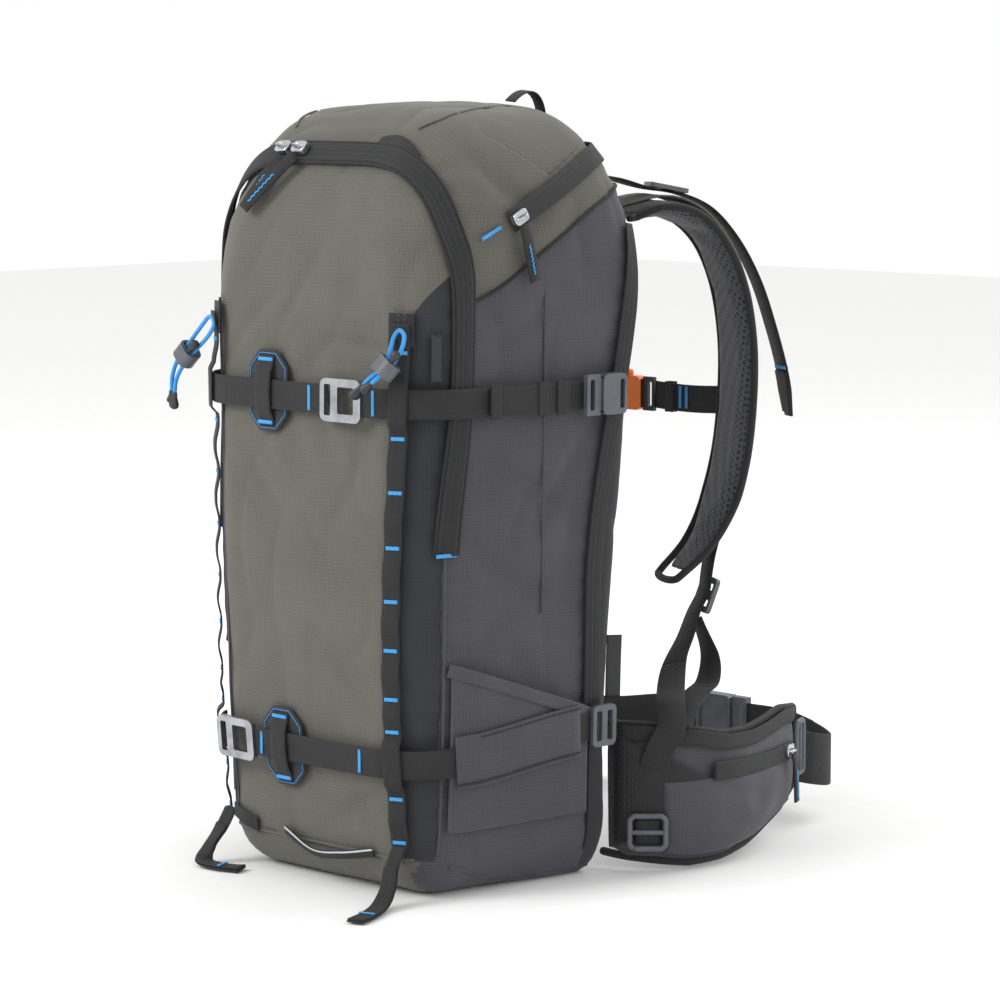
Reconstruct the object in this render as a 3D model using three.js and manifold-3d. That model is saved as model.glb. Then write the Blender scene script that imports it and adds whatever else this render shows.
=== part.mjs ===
// A ski touring backpack that stands on Z = 0: millimetres, +Z up, the wearer's side towards +Y,
// the bag's front towards -Y and its right side (as worn) towards +X. The origin is on the floor.
import * as THREE from "three";
import { mergeVertices } from "three/addons/utils/BufferGeometryUtils.js";
import Module from "manifold-3d";

const wasm = await Module();
wasm.setup();
const { lerp, clamp, smoothstep, degToRad } = THREE.MathUtils;
const at = (x, y, z) => new THREE.Vector3(x, y, z);

// ---------------------------------------------------------------- driving dimensions
// The bag is a rounded box that leans back and widens to the top.
const HEIGHT = 536;
const FRONT_DEPTH = 104; // from the origin to the front wall
const BACK_DEPTH_LOW = 76; // to the back wall at the hips
const BACK_DEPTH_HIGH = 100; // and at the shoulders
const FRONT_HALF_WIDTH = 102; // at the foot; it grows by WIDTH_GAIN
const BACK_HALF_WIDTH = 122;
const WIDTH_GAIN = 8;
const SIDE_BULGE = 3;
const FRONT_BULGE = 4;
const FOOT_TUCK = 8;
const LID_LEAN = 24;
const CROWN = 14; // how much the top falls away to the sides
const BASE_ROUND = 45;
const TOP_ROUND = 80;

const FABRIC = 1.6; // a wall of coated fabric with its lining
const KERF = 0.4; // between two panels at their seam
const GAP = 0.4; // between layers that lie on each other
const WEBBING = 20; // width of the common webbing
const WEBBING_THICK = 1.3;
const BELT_WEBBING = 38;
const BELT_THICK = 2;

const FRONT_SEAM_LOW = 79; // depth of the seam between front and side, low down
const FRONT_SEAM_HIGH = 68; // and above the upper strap
const BACK_SEAM_LOW = 48; // depth of the back-access zip, low down and at the shoulders
const BACK_SEAM_HIGH = 82;
const ARCH_HALF = 110; // the front opening is an arch, its half width
const ARCH_TOP = 501;
const ARCH_RADIUS = 66;
const ZIP_END = 237; // where the legs of the front zip stop
const ZIP_WIDTH = 15;
const ZIP_THICK = 1.3;

const UPPER_STRAP = 338; // heights of the two compression straps
const LOWER_STRAP = 96;
const DAISY = { width: 14, right: [90, 82], left: [93, 95] }; // distance from the middle at top and foot
const DAISY_TOP = 391;
const DAISY_FOOT = 40;
const PATCH = { width: 38, height: 52, thick: 0.8 };
const HOOK = { length: 38, width: 29, thick: 4 };

const STRAP_AXIS = { x: 72, y: 100 }; // upright line about which a shoulder strap swings
const REST_SWING = 26; // both straps hang swung outwards by this angle
const PAD = { width: 60, thick: 12 };
const PAD_REACH = 114; // how far the middle of a pad stands out from the swing axis
const STERNUM = { z: 320, buckleX: 20 };
const FIN_THICK = 14;
const POCKET_STANDOFF = 6;

// ---------------------------------------------------------------- the body's surface
const backDepth = (z) => lerp(BACK_DEPTH_LOW, BACK_DEPTH_HIGH, smoothstep(z, 130, 440));

function frontDepth(x, z) {
  const swell = Math.sin(Math.PI * clamp(z / 460, 0, 1)) * (1 - (x / FRONT_HALF_WIDTH) ** 2);
  const tuck = FOOT_TUCK * (1 - smoothstep(z, 0, 140));
  return FRONT_DEPTH - tuck - LID_LEAN * smoothstep(z, 380, 590) + FRONT_BULGE * Math.max(swell, 0);
}

function halfWidth(y, z) {
  const back = clamp((y + FRONT_DEPTH) / (FRONT_DEPTH + backDepth(z)), 0, 1);
  const gain = WIDTH_GAIN * clamp(z / 420, 0, 1);
  return lerp(FRONT_HALF_WIDTH, BACK_HALF_WIDTH, back) + gain + SIDE_BULGE * 4 * back * (1 - back);
}

// Below 1 inside the bag, 1 on its surface: a box with elliptic edges.
function bodyField(p, inset) {
  const { x, y, z } = p;
  const high = smoothstep(z, 390, HEIGHT);
  const towardsBack = smoothstep(y, -60, 60);
  const edge = (distance, limit, round) => Math.max(0, distance - (limit - round)) / round;
  const sideRound = lerp(lerp(36, 20, towardsBack), 60, high);
  const frontRound = lerp(36, 60, high);
  const backRound = lerp(20, 60, high);
  const half = halfWidth(y, z);
  const top = HEIGHT - CROWN * (x / half) ** 2 - 6 * ((y - 20) / 100) ** 2;
  const qx = edge(Math.abs(x), half - inset, sideRound - inset);
  const qy =
    y < 0
      ? edge(-y, frontDepth(x, z) - inset, frontRound - inset)
      : edge(y, backDepth(z) - inset, backRound - inset);
  const qz =
    z > HEIGHT / 2
      ? edge(z, top - inset, TOP_ROUND - inset)
      : edge(-z, -inset, BASE_ROUND - inset);
  return qx * qx + qy * qy + qz * qz;
}

function skin(origin, direction, inset = 0) {
  let inside = 0;
  let outside = 500;
  for (let i = 0; i < 36; i++) {
    const middle = (inside + outside) / 2;
    const p = origin.clone().addScaledVector(direction, middle);
    if (bodyField(p, inset) < 1) inside = middle;
    else outside = middle;
  }
  return origin.clone().addScaledVector(direction, inside);
}

function outward(p) {
  const slope = ["x", "y", "z"].map((axis) => {
    const ahead = p.clone();
    const behind = p.clone();
    ahead[axis] += 0.5;
    behind[axis] -= 0.5;
    return bodyField(ahead, 0) - bodyField(behind, 0);
  });
  return at(...slope).normalize();
}

// A point on the surface with its outward direction, raised by lift.
function onBody(origin, direction, lift = 0) {
  const point = skin(origin, direction);
  const normal = outward(point);
  return { point: point.addScaledVector(normal, lift), normal };
}
const onFront = (x, z, lift) => onBody(at(x, 0, z), at(0, -1, 0), lift);
const onBack = (x, z, lift) => onBody(at(x, 0, z), at(0, 1, 0), lift);
const onSide = (y, z, lift, side = 1) => onBody(at(0, y, z), at(side, 0, 0), lift);
const onTop = (x, y, lift) => onBody(at(x, y, HEIGHT / 2), at(0, 0, 1), lift);
// angle is measured from the front towards +X
const around = (angle, z, lift) =>
  onBody(at(0, 0, z), at(Math.sin(degToRad(angle)), -Math.cos(degToRad(angle)), 0), lift);

// ---------------------------------------------------------------- solids
const steps = (count) => Array.from({ length: count + 1 }, (_, i) => i / count);

function faceOut(geometry) {
  const p = geometry.getAttribute("position");
  const index = geometry.index.array;
  const [a, b, c] = [at(0, 0, 0), at(0, 0, 0), at(0, 0, 0)];
  let volume = 0;
  for (let i = 0; i < index.length; i += 3) {
    a.fromBufferAttribute(p, index[i]);
    b.fromBufferAttribute(p, index[i + 1]);
    c.fromBufferAttribute(p, index[i + 2]);
    volume += a.dot(b.cross(c));
  }
  if (volume < 0) for (let i = 0; i < index.length; i += 3) {
    [index[i], index[i + 1]] = [index[i + 1], index[i]];
  }
  return geometry;
}

function solidFrom(points, faces) {
  const geometry = new THREE.BufferGeometry();
  geometry.setAttribute("position", new THREE.Float32BufferAttribute(points.flatMap((p) => p.toArray()), 3));
  geometry.setIndex(faces);
  return faceOut(geometry);
}

// A solid through closed rings of equally many points, its ends closed by fans.
function loft(rings) {
  const n = rings[0].length;
  const points = rings.flat();
  const faces = [];
  for (let i = 0; i + 1 < rings.length; i++)
    for (let j = 0; j < n; j++) {
      const a = i * n + j;
      const b = i * n + ((j + 1) % n);
      faces.push(a, b, b + n, a, b + n, a + n);
    }
  for (const [start, ring, flip] of [[0, rings[0], true], [(rings.length - 1) * n, rings.at(-1), false]]) {
    const centre = ring.reduce((sum, p) => sum.add(p), at(0, 0, 0)).divideScalar(n);
    points.push(centre);
    for (let j = 0; j < n; j++) {
      const [a, b] = [start + j, start + ((j + 1) % n)];
      faces.push(points.length - 1, ...(flip ? [b, a] : [a, b]));
    }
  }
  return solidFrom(points, faces);
}

// A thin solid between two grids of points: rows[i][j] = [outer, inner].
function slab(rows) {
  const [m, n] = [rows.length, rows[0].length];
  const points = [...rows.flat().map((pair) => pair[0]), ...rows.flat().map((pair) => pair[1])];
  const index = (i, j, inner) => inner * m * n + i * n + j;
  const faces = [];
  const quad = (a, b, c, d) => faces.push(a, b, c, a, c, d);
  for (let i = 0; i + 1 < m; i++)
    for (let j = 0; j + 1 < n; j++) {
      quad(index(i, j, 0), index(i, j + 1, 0), index(i + 1, j + 1, 0), index(i + 1, j, 0));
      quad(index(i, j, 1), index(i + 1, j, 1), index(i + 1, j + 1, 1), index(i, j + 1, 1));
    }
  for (let j = 0; j + 1 < n; j++) {
    quad(index(0, j, 0), index(0, j, 1), index(0, j + 1, 1), index(0, j + 1, 0));
    quad(index(m - 1, j, 0), index(m - 1, j + 1, 0), index(m - 1, j + 1, 1), index(m - 1, j, 1));
  }
  for (let i = 0; i + 1 < m; i++) {
    quad(index(i, 0, 0), index(i + 1, 0, 0), index(i + 1, 0, 1), index(i, 0, 1));
    quad(index(i, n - 1, 0), index(i, n - 1, 1), index(i + 1, n - 1, 1), index(i + 1, n - 1, 0));
  }
  return solidFrom(points, faces);
}

// Adds to each {point, normal} of a route its running direction and the direction across.
function framed(route) {
  return route.map(({ point, normal }, i) => {
    const before = route[Math.max(i - 1, 0)].point;
    const after = route[Math.min(i + 1, route.length - 1)].point;
    const along = after.clone().sub(before).normalize();
    const across = along.clone().cross(normal).normalize();
    return { point, along, across, normal: across.clone().cross(along).normalize() };
  });
}

// base is where its lower face lies, measured along the normal from the route.
const ribbon = (route, width, thick, base = 0) =>
  loft(
    framed(route).map(({ point, across, normal }) =>
      [[-1, 0], [1, 0], [1, 1], [-1, 1]].map(([side, up]) =>
        point.clone().addScaledVector(across, (side * width) / 2).addScaledVector(normal, base + up * thick),
      ),
    ),
  );

// A free strap along a smooth curve, its width along a direction that may change on the way.
function freeRoute(points, across, count) {
  const curve = new THREE.CatmullRomCurve3(points);
  return steps(count).map((t) => {
    const wide = typeof across === "function" ? across(t) : across;
    return { point: curve.getPointAt(t), normal: wide.clone().cross(curve.getTangentAt(t)).normalize() };
  });
}

// A padded strap: rounded sections whose size follows the way along it.
const padded = (route, width, thick, sides = 12) =>
  loft(
    framed(route).map(({ point, across, normal }, i) => {
      const t = i / (route.length - 1);
      return steps(sides - 1).map((_, k) => {
        const angle = (2 * Math.PI * k) / sides;
        const soft = (value, power) => Math.sign(value) * Math.abs(value) ** power;
        return point
          .clone()
          .addScaledVector(across, (width(t) / 2) * soft(Math.cos(angle), 0.5))
          .addScaledVector(normal, (thick(t) / 2) * soft(Math.sin(angle), 0.7));
      });
    }),
  );

// Flat hardware: an outline with slots, extruded, then set on a frame of three directions.
function roundedOutline(width, height, radius, Kind = THREE.Shape, cx = 0, cy = 0) {
  const [w, h] = [width / 2 - radius, height / 2 - radius];
  const shape = new Kind();
  shape.absarc(cx + w, cy + h, radius, 0, Math.PI / 2);
  shape.absarc(cx - w, cy + h, radius, Math.PI / 2, Math.PI);
  shape.absarc(cx - w, cy - h, radius, Math.PI, 1.5 * Math.PI);
  shape.absarc(cx + w, cy - h, radius, 1.5 * Math.PI, 2 * Math.PI);
  shape.closePath();
  return shape;
}
const slot = (width, height, cx) => roundedOutline(width, height, 1.2, THREE.Path, cx, 0);

function plate(outline, thick) {
  return new THREE.ExtrudeGeometry(outline, { depth: thick, bevelEnabled: false, curveSegments: 2 });
}

function setOn(geometry, { point, along, across, normal }, lift = 0) {
  const origin = point.clone().addScaledVector(normal, lift);
  const right = along.clone().cross(across).dot(normal) > 0 ? across : across.clone().negate();
  geometry.applyMatrix4(new THREE.Matrix4().makeBasis(along, right, normal).setPosition(origin));
  return geometry;
}

function toManifold(geometry) {
  const bare = new THREE.BufferGeometry().setAttribute("position", geometry.getAttribute("position"));
  if (geometry.index) bare.setIndex(geometry.index);
  const merged = mergeVertices(bare, 1e-3);
  const triVerts = new Uint32Array(merged.index.array);
  return new wasm.Manifold(
    new wasm.Mesh({ numProp: 3, vertProperties: merged.getAttribute("position").array, triVerts }),
  );
}

function toGeometry(manifold) {
  const mesh = manifold.getMesh();
  const geometry = new THREE.BufferGeometry();
  geometry.setAttribute("position", new THREE.BufferAttribute(mesh.vertProperties, mesh.numProp));
  geometry.setIndex(new THREE.BufferAttribute(mesh.triVerts, 1));
  return geometry;
}
const cut = (a, b) => toGeometry(toManifold(a).subtract(toManifold(b)));
const join = (a, b) => toGeometry(toManifold(a).add(toManifold(b)));

// ---------------------------------------------------------------- the scene graph
const group = new THREE.Group();
const FINISH = {
  shell: [0x72716a, 0.75, 0],
  dark: [0x4c4c51, 0.75, 0],
  webbing: [0x1d1e20, 0.85, 0],
  mesh: [0x55555a, 0.9, 0],
  acetal: [0x6d7075, 0.45, 0],
  metal: [0xb9bcc0, 0.35, 0.9],
  bungee: [0x2f9be3, 0.7, 0],
  whistle: [0xf07a25, 0.45, 0],
  sheet: [0x2a2b2d, 0.6, 0],
};
function add(name, finish, geometry) {
  const [color, roughness, metalness] = FINISH[finish];
  const mesh = new THREE.Mesh(geometry, new THREE.MeshStandardMaterial({ color, roughness, metalness }));
  mesh.name = name;
  group.add(mesh);
}

// ---------------------------------------------------------------- bag panels
const AXIS_LOW = 60;
const AXIS_HIGH = 425;

function bodySolid(inset) {
  const levels = [
    ...[-84, -68, -52, -35, -18].map((tilt) => [AXIS_LOW, tilt]),
    ...steps(8).map((t) => [lerp(AXIS_LOW, AXIS_HIGH, t), 0]),
    ...[13, 26, 39, 51, 63, 74, 84].map((tilt) => [AXIS_HIGH, tilt]),
  ];
  const rings = levels.map(([z, tilt]) =>
    steps(39).map((_, k) => {
      const turn = (2 * Math.PI * k) / 40;
      const flat = Math.cos(degToRad(tilt));
      const way = at(Math.sin(turn) * flat, -Math.cos(turn) * flat, Math.sin(degToRad(tilt)));
      return skin(at(0, 0, z), way, inset);
    }),
  );
  return toManifold(loft(rings));
}

// Prisms that cut the shell: an outline in the YZ plane run across, or in the XZ plane run deep.
const REACH = 400;
const acrossBasis = new THREE.Matrix4().makeBasis(at(0, 1, 0), at(0, 0, 1), at(1, 0, 0));
const deepBasis = new THREE.Matrix4().makeBasis(at(1, 0, 0), at(0, 0, 1), at(0, -1, 0));
function prism(outline, basis, from, to) {
  const geometry = plate(new THREE.Shape(outline.map(([u, v]) => new THREE.Vector2(u, v))), to - from);
  return toManifold(geometry.translate(0, 0, from).applyMatrix4(basis));
}

// The same outline moved outwards by a distance, for the gap at a seam.
function grown(outline, distance) {
  const area = outline.reduce((sum, [x, y], i) => {
    const [nx, ny] = outline[(i + 1) % outline.length];
    return sum + x * ny - nx * y;
  }, 0);
  const edgeNormal = ([x0, y0], [x1, y1]) => {
    const length = Math.hypot(x1 - x0, y1 - y0) * Math.sign(area);
    return [(y1 - y0) / length, (x0 - x1) / length];
  };
  return outline.map((p, i) => {
    const n0 = edgeNormal(outline.at(i - 1), p);
    const n1 = edgeNormal(p, outline[(i + 1) % outline.length]);
    const scale = distance / (1 + n0[0] * n1[0] + n0[1] * n1[1]);
    return [p[0] + (n0[0] + n1[0]) * scale, p[1] + (n0[1] + n1[1]) * scale];
  });
}

function frontSeam(z) {
  return -lerp(FRONT_SEAM_LOW, FRONT_SEAM_HIGH, smoothstep(z, ZIP_END - 10, UPPER_STRAP + 20));
}
const backSeam = (z) => lerp(BACK_SEAM_LOW, BACK_SEAM_HIGH, smoothstep(z, 200, 440));
const LID_SEAM = [[-66, 402], [-39, 412], [51, 467], [77, 477]]; // YZ line where the lid meets the side
const LID_ZIP = [[-29, 456], [53, 496]]; // YZ line of the lid zip on the side
const LID_ZIP_BACK = 500; // its height round the back
const LID_HINGE_Y = -25; // across the lid, where the flap folds
const FLAP_CLEAR = ZIP_WIDTH / 2 + 1.2; // the flap ends above the zip's tape
const heightOn = ([[y0, z0], [y1, z1]], y) => z0 + ((y - y0) * (z1 - z0)) / (y1 - y0);

const seamSteps = steps(10).map((t) => lerp(0, HEIGHT, t));
const REGION = {
  base: [[-REACH, 28], [-80, 28], [-29, 8], [67, 5], [REACH, 5], [REACH, -50], [-REACH, -50]],
  front: [[-REACH, 0], ...seamSteps.map((z) => [frontSeam(z), z]), [-REACH, HEIGHT]],
  lid: [[-REACH, 300], ...LID_SEAM, [REACH, LID_SEAM.at(-1)[1]], [REACH, 700], [-REACH, 700]],
  flap: [
    [LID_HINGE_Y, 700],
    [LID_HINGE_Y, HEIGHT - 22],
    [15, heightOn(LID_ZIP, 15) + FLAP_CLEAR],
    [58, LID_ZIP_BACK + FLAP_CLEAR],
    [REACH, LID_ZIP_BACK + FLAP_CLEAR],
    [REACH, 700],
  ],
  back: [[REACH, 0], ...seamSteps.map((z) => [backSeam(z), z]), [REACH, HEIGHT]],
};
const archOutline = new THREE.Path();
archOutline.moveTo(-ARCH_HALF, -20);
archOutline.lineTo(ARCH_HALF, -20);
archOutline.absarc(ARCH_HALF - ARCH_RADIUS, ARCH_TOP - ARCH_RADIUS, ARCH_RADIUS, 0, Math.PI / 2);
archOutline.absarc(ARCH_RADIUS - ARCH_HALF, ARCH_TOP - ARCH_RADIUS, ARCH_RADIUS, Math.PI / 2, Math.PI);
const ARCH = archOutline.getPoints(6).map((p) => p.toArray());

// Takes a region out of a solid: [the region, what is left], a kerf apart.
function split(solid, cutter) {
  return [solid.intersect(cutter(0)), solid.subtract(cutter(KERF))];
}
const acrossCutter = (outline) => (gap) =>
  prism(gap ? grown(outline, gap) : outline, acrossBasis, -REACH, REACH);
const frontCutter = (gap) =>
  acrossCutter(REGION.front)(gap).intersect(
    prism(gap ? grown(ARCH, gap) : ARCH, deepBasis, 40, REACH),
  );
const WHOLE_SIDE = [[-REACH, -50], [REACH, -50], [REACH, 700], [-REACH, 700]];
const rightHalf = (gap) => prism(WHOLE_SIDE, acrossBasis, -gap, REACH);

const shell = bodySolid(0).subtract(bodySolid(FABRIC));
const [base, aboveBase] = split(shell, acrossCutter(REGION.base));
const [front, behindFront] = split(aboveBase, frontCutter);
const [lid, walls] = split(behindFront, acrossCutter(REGION.lid));
const [flap, hood] = split(lid, acrossCutter(REGION.flap));
const [back, sides] = split(walls, acrossCutter(REGION.back));
const [sideRight, sideLeft] = split(sides, rightHalf);
for (const [name, finish, solid] of [
  ["base_panel", "shell", base],
  ["front_panel", "shell", front],
  ["lid_hood", "shell", hood],
  ["lid_flap", "shell", flap],
  ["back_panel", "dark", back],
  ["side_panel_right", "dark", sideRight],
  ["side_panel_left", "dark", sideLeft],
]) {
  add(name, finish, toGeometry(solid));
}

// ---------------------------------------------------------------- inside: frame sheet and stay
const SHEET = { half: 84, low: 46, high: 440, thick: 2, inset: FABRIC + 1.5 };
const acrossBack = (z, depth, half, count) =>
  steps(count).map((t) => {
    const x = lerp(-half, half, t);
    const y = backDepth(z) - depth;
    return [at(x, y, z), at(x, y - SHEET.thick, z)];
  });
const sheetRow = (t) => acrossBack(lerp(SHEET.low, SHEET.high, t), SHEET.inset, SHEET.half, 2);
add("frame_sheet", "sheet", slab(steps(10).map(sheetRow)));
const stayRoute = steps(10).map((t) => {
  const z = lerp(SHEET.low + 10, SHEET.high - 10, t);
  return { point: at(0, backDepth(z) - SHEET.inset - SHEET.thick - GAP, z), normal: at(0, -1, 0) };
});
add("frame_stay", "metal", ribbon(stayRoute, 24, 3));

// ---------------------------------------------------------------- outside of the back: foam pad
const BACK_PAD = { half: 88, low: 50, high: 438, thick: 13 };
add(
  "back_pad",
  "mesh",
  slab(
    steps(10).map((t) =>
      steps(6).map((u) => {
        const z = lerp(BACK_PAD.low, BACK_PAD.high, t);
        const x = lerp(-BACK_PAD.half, BACK_PAD.half, u);
        const foot = onBack(x, z, 0.6).point;
        const dome = Math.min(1, 4 * Math.min(t, 1 - t) + 0.3, 4 * Math.min(u, 1 - u) + 0.3);
        const channel = Math.abs(u - 0.5) < 0.1 ? 0.45 : 1;
        return [foot.clone().add(at(0, BACK_PAD.thick * dome * channel, 0)), foot];
      }),
    ),
  ),
);

// ---------------------------------------------------------------- zips
const TAPE_LIFT = 0.9;
const archPoint = (angle, side) => [
  side * (ARCH_HALF - ARCH_RADIUS + ARCH_RADIUS * Math.sin(degToRad(angle))),
  ARCH_TOP - ARCH_RADIUS + ARCH_RADIUS * Math.cos(degToRad(angle)),
];
const archLeg = (side) => [
  ...steps(9).map((t) => {
    const z = lerp(ZIP_END, ARCH_TOP - ARCH_RADIUS, t);
    return onSide(frontSeam(z), z, TAPE_LIFT, side);
  }),
  ...[75, 60, 45, 30, 15, 0].map((angle) => onFront(...archPoint(angle, side), TAPE_LIFT)),
];
const frontZipRoute = [
  ...archLeg(-1),
  ...[-0.5, 0, 0.5].map((t) => onFront(t * (ARCH_HALF - ARCH_RADIUS), ARCH_TOP, TAPE_LIFT)),
  ...archLeg(1).reverse(),
];
add("front_zip", "webbing", ribbon(frontZipRoute, ZIP_WIDTH, ZIP_THICK));

const lidZipSide = (side) =>
  steps(8).map((t) => {
    const y = lerp(LID_ZIP[0][0], LID_ZIP[1][0], t);
    return onSide(y, heightOn(LID_ZIP, y), TAPE_LIFT, side);
  });
const lidZipBack = steps(12).map((t) => around(lerp(126, 234, t), LID_ZIP_BACK, TAPE_LIFT));
const lidZipRoute = [...lidZipSide(1), ...lidZipBack, ...lidZipSide(-1).reverse()];
add("lid_zip", "webbing", ribbon(lidZipRoute, ZIP_WIDTH, ZIP_THICK));

const BACK_ZIP = { low: 124, high: 452 };
const backZipSide = (side) =>
  steps(16).map((t) => {
    const z = lerp(BACK_ZIP.low, BACK_ZIP.high, t);
    return onSide(backSeam(z), z, TAPE_LIFT, side);
  });
for (const [side, name] of [[1, "right"], [-1, "left"]])
  add("back_zip_" + name, "webbing", ribbon(backZipSide(side), ZIP_WIDTH, ZIP_THICK));

// A slider is a small wedge body; its pull hangs from it as a folded webbing tab.
const SLIDER = { length: 13, width: 9, thick: 5 };
const sliderLift = TAPE_LIFT + ZIP_THICK + GAP;
function sliderFrame(spot, along) {
  const across = along.clone().cross(spot.normal).normalize();
  const { point, normal } = spot;
  return { point, along: normal.clone().cross(across).normalize(), across, normal };
}
const sliderSolid = (frame) =>
  setOn(plate(roundedOutline(SLIDER.length, SLIDER.width, 3), SLIDER.thick), frame);
const pullSolid = (points, across, width) => ribbon(freeRoute(points, across, 5), width, 1.6);

// The two front sliders meet near the top; their pulls hang to the left, one over the other.
const FRONT_SLIDERS = [
  { name: "left", x: -46, lean: -20, lift: 4.6 },
  { name: "right", x: -29, lean: -34, lift: 7 },
];
for (const { name, x, lean, lift } of FRONT_SLIDERS) {
  const spot = onFront(x, ARCH_TOP, sliderLift);
  add("front_slider_" + name, "metal", sliderSolid(sliderFrame(spot, at(1, 0, 0))));
  const hang = [0, 0.35, 0.7, 1].map((t) => onFront(x + lean * t, ARCH_TOP - 6 - 34 * t, lift).point);
  add("front_pull_" + name, "webbing", pullSolid(hang, at(1, 0, lean / 40), 9));
}
const lidSlope = at(0, LID_ZIP[1][0] - LID_ZIP[0][0], LID_ZIP[1][1] - LID_ZIP[0][1]).normalize();
const lidSpot = onSide(LID_ZIP[0][0] + 5, LID_ZIP[0][1] + 3, sliderLift);
add("lid_slider", "metal", sliderSolid(sliderFrame(lidSpot, lidSlope)));
const lidHang = lidSpot.point.clone().addScaledVector(lidSpot.normal, 4).add(at(0, 3, -5.7));
const lidPull = [lidHang, lidHang.clone().add(at(2, 2, -12)), lidHang.clone().add(at(3, 8, -38))];
add("lid_pull", "webbing", pullSolid(lidPull, at(0, 1, 0), 10));

// ---------------------------------------------------------------- side pockets and compression straps
const POCKET = { front: -75, back: 44, low: 48, topFront: 163, topBack: 121 };
const pocketShare = (y) => (y - POCKET.front) / (POCKET.back - POCKET.front);
const pocketTop = (y) => lerp(POCKET.topFront, POCKET.topBack, pocketShare(y));
const pocketEdge = (v) => Math.min(1, 6 * v, 6 * (1 - v));
// How far the pocket's cloth stands off the side wall, most at its hem.
function pocketLift(y, z) {
  const along = clamp(pocketShare(y), 0, 1);
  const rise = clamp((z - POCKET.low) / (pocketTop(y) - POCKET.low), 0, 1);
  return 0.6 + POCKET_STANDOFF * pocketEdge(along) * rise ** 0.6;
}
for (const [side, name] of [[1, "right"], [-1, "left"]]) {
  const rows = steps(5).map((t) =>
    steps(8).map((u) => {
      const y = lerp(POCKET.front, POCKET.back, u);
      const z = lerp(POCKET.low, pocketTop(y), t);
      const lift = pocketLift(y, z);
      return [onSide(y, z, lift + FABRIC, side).point, onSide(y, z, lift, side).point];
    }),
  );
  add("side_pocket_" + name, "dark", slab(rows));
}

const strapLift = TAPE_LIFT + ZIP_THICK + 3 * GAP; // a compression strap runs over the zips and patches
const hookHalf = HOOK.length / 2;
const bearing = (x, depth) => (Math.atan2(x, depth) * 180) / Math.PI;
const UPPER_HOOK_X = 43;
const LOWER_HOOK_X = -67;
const route = (from, to, count, z, lift) =>
  steps(count).map((t) => {
    const angle = lerp(from, to, t);
    const bare = around(angle, z(angle), 0);
    return { point: bare.point.addScaledVector(bare.normal, lift(bare.point)), normal: bare.normal };
  });
const level = (z) => () => z;
const SIDE_BUCKLE_Y = 34; // where the side buckle's bar sits on the upper strap
const strapEndAngle = 90 + bearing(SIDE_BUCKLE_Y + 22, BACK_HALF_WIDTH);
const frontBearing = (x, z) => bearing(x, -onFront(x, z, 0).point.y);
const HOOK_PLAY = 0.6; // between a hook and the end of its strap
const addStrap = (name, from, to, count, z, lift) =>
  add(name, "webbing", ribbon(route(from, to, count, z, lift), WEBBING, WEBBING_THICK));
const rightOfHook = frontBearing(UPPER_HOOK_X + hookHalf + HOOK_PLAY, UPPER_STRAP);
const leftOfHook = frontBearing(UPPER_HOOK_X - hookHalf - HOOK_PLAY, UPPER_STRAP);
const LEFT_STRAP_END = -116; // sewn in at the left back seam
addStrap("upper_strap_right", rightOfHook, strapEndAngle, 16, level(UPPER_STRAP), () => strapLift);
addStrap("upper_strap_left", leftOfHook, LEFT_STRAP_END, 30, level(UPPER_STRAP), () => strapLift);
// Low down the strap climbs from the front over the side pocket to its lock at the back edge.
const lowerHeight = (angle) => LOWER_STRAP + 12 * smoothstep(angle, 45, 110);
const overPocket = (p) => {
  const beside = p.y > POCKET.front - 4 && Math.abs(p.x) > 90;
  return beside ? Math.max(strapLift, pocketLift(p.y, p.z) + FABRIC + 2 * GAP) : strapLift;
};
const LOWER_LOCK_Y = 50;
const pastHook = frontBearing(LOWER_HOOK_X + hookHalf + HOOK_PLAY, LOWER_STRAP);
const lowerEnd = 90 + bearing(LOWER_LOCK_Y - 6, BACK_HALF_WIDTH);
addStrap("lower_strap", pastHook, lowerEnd, 24, lowerHeight, overPocket);

// Hooks with a slot for the sewn strap and an open hook slot for the loop.
function hookSolid(spot) {
  const outline = roundedOutline(HOOK.length, HOOK.width, 5);
  outline.holes.push(slot(6, WEBBING + 1, -HOOK.length / 2 + 7), slot(15, WEBBING - 2, 5));
  return setOn(plate(outline, HOOK.thick), sliderFrame(spot, at(1, 0, 0)));
}
add("upper_hook", "acetal", hookSolid(onFront(UPPER_HOOK_X, UPPER_STRAP, strapLift - 1)));
const lowerHookSpot = onFront(LOWER_HOOK_X, LOWER_STRAP, strapLift - 0.6);
add("lower_hook", "acetal", hookSolid(lowerHookSpot));

// A two-bar lock plate for webbing.
function lockSolid(frame, length, width, thick) {
  const outline = roundedOutline(length, width, 4);
  outline.holes.push(slot(5, width - 8, -length / 4 + 0.5), slot(5, width - 8, length / 4 - 0.5));
  return setOn(plate(outline, thick), frame);
}
const lowerLockLift = overPocket(at(120, 40, 100)) + WEBBING_THICK + GAP;
const lowerLockSpot = onSide(LOWER_LOCK_Y + 4, LOWER_STRAP + 12, lowerLockLift);
add("lower_lock", "acetal", lockSolid(sliderFrame(lowerLockSpot, at(0, 1, 0)), 22, 29, 3));

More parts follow.
